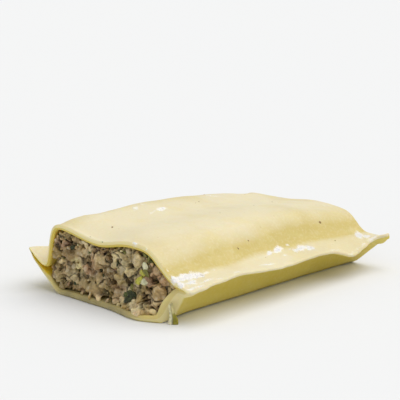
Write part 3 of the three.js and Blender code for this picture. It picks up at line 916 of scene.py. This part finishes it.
def slab(u0, u1, nu, ny, nk):
    """the meat between two stations, out to the pasta"""
    us = np.linspace(u0, u1, nu)
    t = np.linspace(2.15, 12.25, ny)
    b = spline_basis(17, t)
    one = 0 * us
    top = np.einsum("sm,umk->usk", b, inward(top_outer(us), -1, SHEET + 0.12, SEAM_SHEET + 0.45 + one, SEAM_SHEET + 0.45 + one))
    bot = np.einsum("sm,umk->usk", b, inward(bottom_outer(us), 1, SHEET + 0.12, SEAM_SHEET + 0.45 + one, SEAM_SHEET + 0.45 + one))
    kk = np.linspace(0, 1, nk + 1)

    def row(i, k):
        p = bot[i] * (1 - k) + top[i] * k
        return np.stack([np.full(ny, LENGTH * (us[i] - 0.5)), p[:, 0], p[:, 1]], -1)

    rings = []
    for i in range(nu):
        left = np.stack([row(i, k)[-1] for k in kk[1:-1]])
        right = np.stack([row(i, k)[0] for k in kk[1:-1]])
        rings.append(np.concatenate([row(i, 0.0), left, row(i, 1.0)[::-1], right[::-1]]))
    nr = len(rings[0])
    verts = list(np.concatenate(rings))
    faces = []
    for i in range(nu - 1):
        for j in range(nr):
            j2 = (j + 1) % nr
            faces.append((i * nr + j, i * nr + j2, (i + 1) * nr + j2, (i + 1) * nr + j))
    for i, flip, sgn in ((0, True, -1.0), (nu - 1, False, 1.0)):
        idx = np.zeros((nk + 1, ny), int)
        idx[0] = i * nr + np.arange(ny)
        idx[nk] = i * nr + ny + (nk - 1) + np.arange(ny)[::-1]
        for a in range(1, nk):
            idx[a, ny - 1] = i * nr + ny + a - 1
            idx[a, 0] = i * nr + 2 * ny + (nk - 1) + (nk - 1 - a)
            inner = row(i, kk[a])[1:-1]
            inner[:, 0] += sgn * 0.9 * fbm(inner / 2.6, 3, 131)
            idx[a, 1:ny - 1] = len(verts) + np.arange(ny - 2)
            verts.extend(inner)
        for a in range(nk):
            for j in range(ny - 1):
                q = (idx[a, j], idx[a, j + 1], idx[a + 1, j + 1], idx[a + 1, j])
                faces.append(tuple(reversed(q)) if flip else q)
    verts = np.array(verts)
    return verts, outward(verts, [tuple(int(v) for v in f) for f in faces])


def fuse(parts, voxel):
    """joins overlapping closed meshes into one skin"""
    v = np.concatenate([p[0] for p in parts])
    f, n = [], 0
    for p in parts:
        f.extend([tuple(int(i) + n for i in q) for q in p[1]])
        n += len(p[0])
    me = bpy.data.meshes.new("fuse")
    me.from_pydata((v / 1000.0).tolist(), [], f)
    ob = bpy.data.objects.new("fuse", me)
    bpy.context.scene.collection.objects.link(ob)
    md = ob.modifiers.new("skin", "REMESH")
    md.mode = "VOXEL"
    md.voxel_size = voxel / 1000.0
    md.adaptivity = 0.0
    ev = ob.evaluated_get(bpy.context.evaluated_depsgraph_get())
    got = ev.to_mesh()
    pv = np.empty(len(got.vertices) * 3)
    got.vertices.foreach_get("co", pv)
    pv = pv.reshape(-1, 3) * 1000.0
    nv = np.empty(len(got.vertices) * 3)
    got.vertices.foreach_get("normal", nv)
    nv = nv.reshape(-1, 3)
    pf = [tuple(p.vertices) for p in got.polygons]
    ev.to_mesh_clear()
    bpy.data.objects.remove(ob)
    bpy.data.meshes.remove(me)
    return pv, nv, pf


MID = (1.0, 11.0)      # a point well inside every section, as y, z


def hold_in(v, end):
    """keeps the meat inside the pasta, measured outwards from the middle of each section"""
    stations = np.linspace(0.0, 0.13, 6) if end < 0 else np.linspace(0.87, 1.0, 6)
    bins = np.linspace(-math.pi, math.pi, 361)
    limit = []
    for u in stations:
        line = np.concatenate(section_profile(u))
        dy, dz = line[:, 0] - MID[0], line[:, 1] - MID[1]
        ang, rad = np.arctan2(dz, dy), np.hypot(dy, dz)
        k = np.clip(np.digitize(ang, bins) - 1, 0, 359)
        low = np.full(360, np.inf)
        np.minimum.at(low, k, rad)
        have = np.isfinite(low)
        mid = 0.5 * (bins[1:] + bins[:-1])
        limit.append(np.interp(mid, mid[have], low[have], period=2 * math.pi))
    limit = np.array(limit)
    dy, dz = v[:, 1] - MID[0], v[:, 2] - MID[1]
    ang, rad = np.arctan2(dz, dy), np.maximum(np.hypot(dy, dz), 1e-6)
    a = (ang + math.pi) / (2 * math.pi) * 360 - 0.5
    a0 = np.floor(a).astype(int)
    fa = a - a0
    f = np.clip((v[:, 0] / LENGTH + 0.5 - stations[0]) / (stations[1] - stations[0]), 0, 4.999)
    k = f.astype(int)
    fu = f - k
    at = lambda i: limit[i, a0 % 360] * (1 - fa) + limit[i, (a0 + 1) % 360] * fa
    lim = at(k) * (1 - fu) + at(k + 1) * fu - 0.32
    depth = (v[:, 0] + 50) if end < 0 else (50 - v[:, 0])
    scale = 1 - smooth(-0.5, 0.3, depth) * (1 - np.minimum(1, lim / rad))
    out = v.copy()
    out[:, 1] = MID[0] + dy * scale
    out[:, 2] = MID[1] + dz * scale
    return out


def mince_end(name, section, end, seed, holes, extra, voxel):
    placed, clumps = lay_lumps(section, end, seed, holes)
    count = len(clumps)
    r = np.random.default_rng(seed + 1)
    tints = np.array([pick_tint(r, MEAT_TINTS) for _ in range(count + 4)])
    placed += [(x, y, z, rad, count + i % 3) for i, (x, y, z, rad) in enumerate(extra)]
    parts = []
    for x, y, z, rad, _ in placed:
        p, f = lump(r, (x, y, z), rad * 1.12, 3 if rad > 1.5 else 2 if rad > 0.75 else 1, rough=0.38)
        parts.append((p, f.tolist()))
    back = slab(0.045, 0.105, 6, 70, 18) if end < 0 else slab(0.895, 0.955, 6, 70, 18)
    v, n, f = fuse(parts + [back], voxel)
    # ragged, fibrous surface on everything that shows
    depth = (v[:, 0] + 50) if end < 0 else (50 - v[:, 0])
    show = 1 - smooth(5.5, 7.0, depth)
    ridge = 1 - 2 * np.abs(fbm(v / 1.25, 2, 301))
    move = 0.27 * fbm(v / 1.9, 2, 303) + 0.14 * ridge + 0.05 * vnoise(v / 0.6, 307)
    # crevices between the clumps, and the deep hollows
    tree = KDTree(count)
    for i, c in enumerate(clumps):
        tree.insert(c, i)
    tree.balance()
    warp = np.stack([depth - 0.3, v[:, 1], v[:, 2]], -1)
    warp = warp + 0.95 * np.stack([vnoise(v / 1.9, 341), vnoise(v / 1.9, 343), vnoise(v / 1.9, 347)], -1)
    gap = np.empty(len(v))
    for i, p in enumerate(warp):
        two = tree.find_n(p, 2)
        gap[i] = two[1][2] - two[0][2]
    crev = (1 - smooth(0.0, 1.05, gap)) * (1 - smooth(3.0, 5.0, depth)) * smooth(-0.35, 0.25, fbm(v / 3.4, 2, 351))
    pit = np.zeros(len(v))
    for hy, hz, hr in holes:
        d = np.hypot(v[:, 1] - hy, v[:, 2] - hz) * (1 + 0.35 * vnoise(v / 0.9 + hy, 353))
        pit = np.maximum(pit, 1 - smooth(0.35 * hr, 1.05 * hr, d))
    pit = pit * (1 - smooth(2.5, 5.0, depth))
    v = v + n * (move * show - 0.80 * crev)[:, None]
    v[:, 0] += (1.0 if end < 0 else -1.0) * 2.6 * pit
    v = hold_in(v, end)
    # how far every point lies in a dip or on a knob, used below to paint shade into the dips and light onto the knobs
    q = np.array(f)
    pairs = np.concatenate([q[:, [0, 1]], q[:, [1, 2]], q[:, [2, 3]], q[:, [3, 0]]])
    pairs = np.concatenate([pairs, pairs[:, ::-1]])
    count_n = np.bincount(pairs[:, 0], minlength=len(v)).astype(float)

    def spread(a):
        out = np.stack([np.bincount(pairs[:, 0], weights=a[pairs[:, 1], c], minlength=len(v)) for c in range(a.shape[1])], 1)
        return out / count_n[:, None]

    soft = v.copy()
    hollow = np.zeros(len(v))
    for step in range(14):
        soft = 0.35 * soft + 0.65 * spread(soft)
        if step in (2, 13):
            hollow += np.einsum("ij,ij->i", v - soft, n) / (0.15 if step == 2 else 0.42)
    # colour of the nearest clumps, softly blended and mottled, then painted shade and painted highlights from the
    # surface's shape and depth
    centres = np.array([q[:3] for q in placed])
    own = tints[[q[4] for q in placed]] * (1 + 0.10 * r.normal(size=(len(placed), 1)))
    tree = KDTree(len(centres))
    for i, c in enumerate(centres):
        tree.insert(c, i)
    tree.balance()
    col = np.empty((len(v), 3))
    wob = v + 0.5 * np.stack([vnoise(v / 0.9, 311), vnoise(v / 0.9, 313), vnoise(v / 0.9, 317)], -1)
    for i, p in enumerate(wob):
        near = tree.find_n(p, 3)
        w = np.array([1.0 / max(d - placed[j][3] * 0.6, 0.08) ** 2 for _, j, d in near])
        col[i] = (own[[j for _, j, _ in near]] * w[:, None]).sum(0) / w.sum()
    mott = fbm(v / 1.7, 3, 321)
    col *= (1 + 0.26 * mott)[:, None]
    # painted shade in the dips and painted highlights on the knobs
    col *= (1 + 0.17 * np.clip(hollow, -3.2, 2.2))[:, None]
    # painted shade in the crevices between the clumps
    col *= (1.04 - 0.78 * crev ** 1.2)[:, None]
    col *= np.array([0.965, 0.935, 0.88])[None, :]
    # the pits are painted near-black: painted shade
    col = col * (1 - pit[:, None]) + np.array([0.035, 0.020, 0.010]) * pit[:, None]
    # pale patches on the lumps, kept out of crevices and pits: painted highlights
    ridge_highlight = smooth(0.15, 0.6, fbm(v / 1.5, 2, 331))[:, None] * 0.42 * (1 - np.maximum(crev, pit))[:, None]
    col = col * (1 - ridge_highlight) + np.array([0.74, 0.66, 0.47]) * ridge_highlight
    # darker brown deeper into the tube: painted shade
    dark = smooth(1.5, 4.4, depth - 0.3)[:, None] * 0.86
    col = col * (1 - dark) + np.array([0.085, 0.048, 0.020]) * dark
    ob = make_mesh(name, v, f, colors=np.clip(col, 0.01, 0.92))
    ob.data.materials.append(mat_meat)
    print(name, "tris", 2 * len(f), "lumps", len(placed))
    return ob


LIP_LUMPS = [(-50.9, -17.0, 3.2, 1.35), (-51.6, -14.0, 2.9, 1.5), (-50.9, -10.2, 3.1, 1.35), (-50.6, -13.9, 5.2, 1.4), (-50.2, -18.9, 4.6, 1.1),
             (-50.4, -6.4, 2.9, 1.1), (-52.6, -12.4, 2.6, 1.05), (-50.6, -3.4, 2.8, 0.9), (-52.9, -15.6, 2.7, 1.35), (-53.6, -17.8, 2.5, 0.95),
             (-52.4, -18.6, 2.6, 1.0), (-54.0, -14.2, 2.3, 0.85), (-52.6, -8.4, 2.4, 0.8), (-51.2, 0.5, 2.5, 0.7), (-51.7, -20.0, 2.7, 0.8),
             (-51.0, 8.5, 2.5, 0.6), (-54.3, -16.4, 2.2, 0.8), (-51.9, -16.2, 3.9, 1.2), (-53.4, -10.9, 2.2, 0.6), (-50.8, 4.6, 2.6, 0.8),
             (-51.7, -5.2, 2.3, 0.6), (-50.5, 12.6, 2.7, 0.7), (-54.9, -15.2, 2.0, 0.45)]
mince_near = mince_end("mince_near", NEAR_SEC, -1, 311, NEAR_HOLES, LIP_LUMPS, 0.256)
mince_far = mince_end("mince_far", FAR_SEC, 1, 977, FAR_HOLES, [], 0.30)

crumbs = Heap()
for sec, end, seed in ((NEAR_SEC, -1, 81), (FAR_SEC, 1, 82)):
    r = np.random.default_rng(seed)
    n = 0
    while n < 130:
        y, z = r.uniform(-27, 29), r.uniform(2, 22.5)
        if not sec.inside(y, z) or sec.distance(y, z) < 0.7:
            continue
        depth = abs(r.normal(0, 0.9)) + 0.45 + face_plane(y, z, end)
        rad = r.uniform(0.22, 0.52)
        x = -50 + depth if end < 0 else 50 - depth
        p, f = lump(r, (x, y, z), rad, 2 if rad > 0.35 else 1, rough=0.45)
        crumbs.add(hold_in(p, end), f, pick_tint(r, MEAT_TINTS) * r.uniform(0.85, 1.25))
        n += 1


def bit(r, centre, size, color, heap, thick=0.28, sub=3, face_x=None):
    """a soft, crumpled flake of cooked green"""
    v, f = ICO[sub]
    off = r.uniform(-50, 50, 3)
    p = v * np.array([size[0], size[1], thick])
    n = fbm(v * 1.4 + off, 2, 31)
    p[:, :2] *= (1 + 0.30 * n)[:, None]
    p[:, 2] += 0.28 * size[0] * fbm(np.stack([p[:, 0] * 0.9, p[:, 1] * 0.9, 0 * n], -1) + off, 2, 33)
    # the flat side looks out of the cut, with some tilt
    a, b, c = r.uniform(-0.7, 0.7), r.uniform(-0.7, 0.7), r.uniform(0, math.pi)
    rot = Matrix.Rotation(c, 3, "X") @ Matrix.Rotation(math.pi / 2 + a, 3, "Y") @ Matrix.Rotation(b, 3, "X")
    p = p @ np.array(rot).T + np.asarray(centre)
    shade = 1 + 0.25 * fbm(v * 2.0 + off, 2, 35)
    heap.add(p, f, np.asarray(color)[None, :] * shade[:, None])


greens = Heap()
r = np.random.default_rng(404)
DARK = (0.026, 0.033, 0.012)
GREEN = (0.10, 0.125, 0.030)
OLIVE = (0.21, 0.20, 0.045)
LEEK = (0.56, 0.53, 0.07)
PALE = (0.74, 0.72, 0.47)
NEAR_BITS = [
    (17.5, 16.9, 1.3, 0.7, DARK, 0.4), (-2.6, 14.9, 1.2, 0.8, DARK, 0.6), (5.6, 11.9, 0.9, 1.3, DARK, 0.7), (4.7, 10.1, 0.8, 1.1, DARK, 0.8),
    (-13.9, 11.8, 1.6, 1.45, LEEK, -1.0), (-16.1, 11.5, 1.2, 1.5, PALE, -0.7), (-16.4, 14.3, 1.3, 1.8, OLIVE, -0.7), (-14.7, 14.0, 1.0, 1.3, LEEK, -0.4),
    (-15.9, 16.4, 1.5, 1.0, PALE, -0.6),
    (-9.5, 8.4, 1.3, 0.9, OLIVE, 0.2), (-9.4, 5.2, 2.2, 1.4, DARK, -1.35), (-10.3, 6.6, 1.6, 1.0, DARK, -0.8), (-7.0, 5.6, 1.0, 0.8, GREEN, 0.1),
    (-16.5, 18.9, 1.4, 0.9, OLIVE, 0.5), (-17.6, 17.6, 1.1, 0.8, GREEN, 0.7), (3.6, 20.0, 1.1, 0.6, GREEN, 0.8), (-14.6, 19.4, 1.0, 0.7, OLIVE, 0.8),
    (16.9, 4.9, 0.8, 0.6, DARK, 0.6), (10.0, 16.4, 0.8, 0.5, GREEN, 0.8), (22.0, 12.0, 0.7, 0.5, OLIVE, 1.0), (-19.5, 8.0, 0.9, 0.6, GREEN, 0.8),
    (13.0, 10.2, 0.6, 0.5, DARK, 0.9), (-5.6, 18.9, 0.8, 0.5, OLIVE, 0.9), (7.4, 5.4, 0.8, 0.5, OLIVE, 0.8),
]
for y, z, a, b2, c, d in NEAR_BITS:
    bit(r, (-50 + d, y, z), (a, b2), c, greens, 0.5 if c in (LEEK, PALE) else 0.28)
n = 0
while n < 19:
    y, z = r.uniform(-26, 28), r.uniform(2.5, 19)
    if not FAR_SEC.inside(y, z) or FAR_SEC.distance(y, z) < 1.3:
        continue
    c = [DARK, DARK, GREEN, OLIVE, OLIVE, LEEK][r.integers(6)]
    bit(r, (50 - r.uniform(0.2, 1.1), y, z), (r.uniform(0.6, 1.5), r.uniform(0.5, 1.0)), c, greens)
    n += 1


# core behind the lumps, out to the pasta
cv, cf = slab(0.09, 0.91, 56, 70, 16)
col = np.array([0.17, 0.10, 0.05])[None, :] * (1 + 0.35 * fbm(cv / 2.2, 3, 137))[:, None]
core = make_mesh("filling_core", cv, cf, colors=np.clip(col, 0.01, 1), rewind=True)
core.data.materials.append(mat_core)

crumbs_ob = crumbs.build("mince_crumbs", mat_meat)
greens_ob = greens.build("green_bits", mat_herb)
print("tris: crumbs", crumbs.tris(), "greens", greens.tris())


# ------------------------------------------------------------------- leek strip
def leek():
    across = np.array([math.cos(-0.845), math.sin(-0.845), 0.0])
    through = np.array([-across[1], across[0], 0.0])
    levels, around = 70, 48
    verts, cols = [], []
    for i in range(levels):
        f = i / (levels - 1)
        c = np.array([-50.15 - 1.15 * smooth(0.1, 0.9, f), -27.15 - 0.25 * math.sin(math.pi * f), 6.7 * f])
        half = 1.6 * (1 - 0.56 * smooth(0.0, 0.70, f)) * (1 + 0.06 * noise1(np.array([f * 6.0]), 201)[0])
        thick = 0.6 * (1 - 0.15 * f)
        cap = 1 - 0.10 * max(0.0, (f - 0.93) / 0.07) ** 2
        turn = 0.25 * f
        for j in range(around):
            a = 2 * math.pi * j / around
            ca, sa = math.cos(a), math.sin(a)
            p = half * cap * math.copysign(abs(ca) ** 0.75, ca)
            groove = 0.50 * math.exp(-((p / half + 0.12) / 0.16) ** 2)
            q = thick * cap * math.copysign(abs(sa) ** 0.75, sa) * (1 - groove)
            pr = p * math.cos(turn) - q * math.sin(turn)
            qr = p * math.sin(turn) + q * math.cos(turn)
            v = c + pr * across + qr * through
            v[2] += 0.35 * f * pr / half
            verts.append(v)
            w = smooth(-0.22, -0.02, p / half)
            up = smooth(0.45, 0.62, f)
            white = np.array([0.80, 0.75, 0.50]) * (1 - up) + np.array([0.74, 0.68, 0.40]) * up
            green = np.array([0.310, 0.265, 0.020]) * (1 - up) + np.array([0.62, 0.55, 0.26]) * up
            # darker along the groove of the strip: painted shade in the crease
            seam_dark = 0.75 * math.exp(-((p / half + 0.14) / 0.13) ** 2) * (1 - 0.5 * up)
            cols.append((white * (1 - w) + green * w) * (1 - seam_dark))
    verts = np.array(verts)
    n = fbm(verts / 0.9, 2, 211)[:, None] * 0.08
    mid = verts.reshape(levels, around, 3).mean(1, keepdims=True)
    d = (verts.reshape(levels, around, 3) - mid).reshape(-1, 3)
    verts = verts + d / np.maximum(np.linalg.norm(d, axis=1, keepdims=True), 1e-9) * n
    verts[:, 2] = np.maximum(verts[:, 2], 0.0)
    faces = []
    for i in range(levels - 1):
        for j in range(around):
            j2 = (j + 1) % around
            faces.append((i * around + j, i * around + j2, (i + 1) * around + j2, (i + 1) * around + j))
    # closed ends
    verts = list(verts)
    cols = list(cols)
    for first, flip in ((0, True), ((levels - 1) * around, False)):
        ring = np.array(verts[first:first + around])
        centre = len(verts)
        verts.append(ring.mean(0) + np.array([0, 0, 0.0 if flip else 0.12]))
        cols.append(np.mean(cols[first:first + around], axis=0))
        for j in range(around):
            j2 = (j + 1) % around
            faces.append((centre, first + j2, first + j) if flip else (centre, first + j, first + j2))
    verts = np.array(verts)
    return verts, outward(verts, faces), np.array(cols)


lv, lf, lc = leek()
leek_ob = make_mesh("leek_strand", lv, lf, colors=lc, rewind=True)
leek_ob.data.materials.append(mat_herb)


# ------------------------------------------------------------------- flour grains and bran flakes
def surface_samples(verts, masks, count, seed, weight):
    r = np.random.default_rng(seed)
    w = np.maximum(weight, 0)
    idx = r.choice(len(verts), size=count, p=w / w.sum())
    return r, idx


ns_rows = NU + 10
nr_cols = 2 * NT + 2 * ARC
grid_top = v_top.reshape(ns_rows, nr_cols, 3)
outer_grid = grid_top[:, :NT]
outer_n = grid_normals(outer_grid)
if outer_n[ns_rows // 2, NT // 2, 2] < 0:
    outer_n = -outer_n
flour_w = m_top["flour"].reshape(ns_rows, nr_cols)[:, :NT]
grains = Heap()
r, idx = surface_samples(outer_grid.reshape(-1, 3), None, 2600, 601, (np.clip(flour_w.ravel() - 0.30, 0, 1) ** 1.6))
pts = outer_grid.reshape(-1, 3)[idx]
nrm = outer_n.reshape(-1, 3)[idx]
for p, nn in zip(pts, nrm):
    rad = abs(r.normal(0.0, 0.055)) + 0.05
    jitter = r.normal(0, 0.22, 3)
    jitter -= nn * np.dot(jitter, nn)
    v, f = lump(r, p + jitter + nn * rad * 0.25, rad, 1, rough=0.35)
    grains.add(v, f, (1, 1, 1))
grains_ob = grains.build("flour_grains", mat_flour)

bran = Heap()


def flake(r, x, y, size, grid, normals, heap):
    d = (grid[..., 0] - x) ** 2 + (grid[..., 1] - y) ** 2
    i, j = np.unravel_index(np.argmin(d), d.shape)
    p, nn = grid[i, j], normals[i, j]
    v, f = ICO[2]
    q = v * np.array([size, size * r.uniform(0.45, 0.75), 0.05])
    q[:, :2] *= (1 + 0.3 * fbm(v * 1.5 + r.uniform(-9, 9, 3), 2, 3))[:, None]
    a = r.uniform(0, math.pi)
    e1 = np.cross(nn, (0.3, 1.0, 0.1))
    e1 /= np.linalg.norm(e1)
    e2 = np.cross(nn, e1)
    e1, e2 = e1 * math.cos(a) + e2 * math.sin(a), -e1 * math.sin(a) + e2 * math.cos(a)
    heap.add(q @ np.stack([e1, e2, nn]) + p + nn * 0.015, f, (1, 1, 1))


r = np.random.default_rng(77)
for x, y, s in ((-40.0, 8.9, 0.50), (-14.2, -22.9, 0.42), (-7.8, -21.9, 0.30), (30.8, -22.1, 0.62), (31.2, -28.5, 0.40), (-48.8, 10.2, 0.28),
                (-37.5, -27.8, 0.60), (8.0, 14.0, 0.34), (22.0, 24.0, 0.45), (-22.0, 30.5, 0.5), (38.0, 5.0, 0.33), (-3.0, -5.0, 0.22), (40.0, 30.0, 0.4)):
    flake(r, x, y, s, outer_grid, outer_n, bran)
for _ in range(5):
    flake(r, r.uniform(-48, 48), r.uniform(-33, 35), r.uniform(0.12, 0.26), outer_grid, outer_n, bran)
bran_ob = bran.build("bran_specks", mat_bran)

# ------------------------------------------------------------------- ride and replace
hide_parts("pasta_top")
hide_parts("pasta_bottom")
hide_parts("filling")
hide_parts("leek_strip")
for ob, slot in ((pasta_top, "pasta_upper"), (pasta_bottom, "pasta_lower"), (core, "meat_filling"), (mince_near, "meat_filling"), (mince_far, "meat_filling"),
                 (crumbs_ob, "meat_filling"), (greens_ob, "vegetable"), (leek_ob, "vegetable"), (grains_ob, "flour"), (bran_ob, "bran")):
    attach(ob, "root")

# ------------------------------------------------------------------- stage
lo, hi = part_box("pasta_bottom")
floor_z = lo[2]
me = bpy.data.meshes.new("floor")
S = 12.0
me.from_pydata([(-S, -S, floor_z), (S, -S, floor_z), (S, S, floor_z), (-S, S, floor_z)], [], [(0, 1, 2, 3)])
floor = bpy.data.objects.new("floor", me)
bpy.context.scene.collection.objects.link(floor)
mat, nt, b = new_mat("studio_floor")
b.inputs["Base Color"].default_value = (0.80, 0.80, 0.80, 1)
b.inputs["Roughness"].default_value = 0.9
b.inputs["Specular IOR Level"].default_value = 0.0
floor.data.materials.append(mat)

world = bpy.data.worlds.new("studio")
bpy.context.scene.world = world
world.use_nodes = True
bg = world.node_tree.nodes["Background"]
bg.inputs[0].default_value = (0.965, 0.985, 1.0, 1)
bg.inputs[1].default_value = 0.575


def sun(name, direction, strength, angle, color=(1, 1, 1)):
    d = bpy.data.lights.new(name, "SUN")
    d.energy = strength
    d.angle = math.radians(angle)
    d.color = color
    ob = bpy.data.objects.new(name, d)
    ob.rotation_mode = "QUATERNION"
    ob.rotation_quaternion = Vector(direction).to_track_quat("Z", "Y")
    bpy.context.scene.collection.objects.link(ob)
    return ob


sun("key", (0.30, -0.33, 1.0), 2.02, 72, (1.0, 0.99, 0.975))

# ------------------------------------------------------------------- camera
AZ, EL = math.radians(-48.3947), math.radians(11.6729)
back = Vector((math.sin(AZ) * math.cos(EL), -math.cos(AZ) * math.cos(EL), math.sin(EL)))
right = Vector((math.cos(AZ), math.sin(AZ), 0.0))
up = back.cross(right)
eye = Vector(to_frame((-345.282, -300.248, 121.818)))
cam_data = bpy.data.cameras.new("camera")
cam_data.sensor_width = 36.0
cam_data.sensor_height = 36.0
cam_data.sensor_fit = "HORIZONTAL"
cam_data.lens = 123.35
cam_data.clip_start = 0.01
cam_data.clip_end = 50.0
cam = bpy.data.objects.new("camera", cam_data)
bpy.context.scene.collection.objects.link(cam)
m = Matrix.Identity(4)
for i in range(3):
    m[i][0], m[i][1], m[i][2] = right[i], up[i], back[i]
    m[i][3] = eye[i]
cam.matrix_world = m
bpy.context.scene.camera = cam

bpy.context.scene.view_settings.view_transform = "Standard"
bpy.context.scene.view_settings.look = "None"
bpy.context.scene.view_settings.exposure = 0.0
bpy.context.scene.view_settings.gamma = 1.0

bpy.context.view_layer.update()
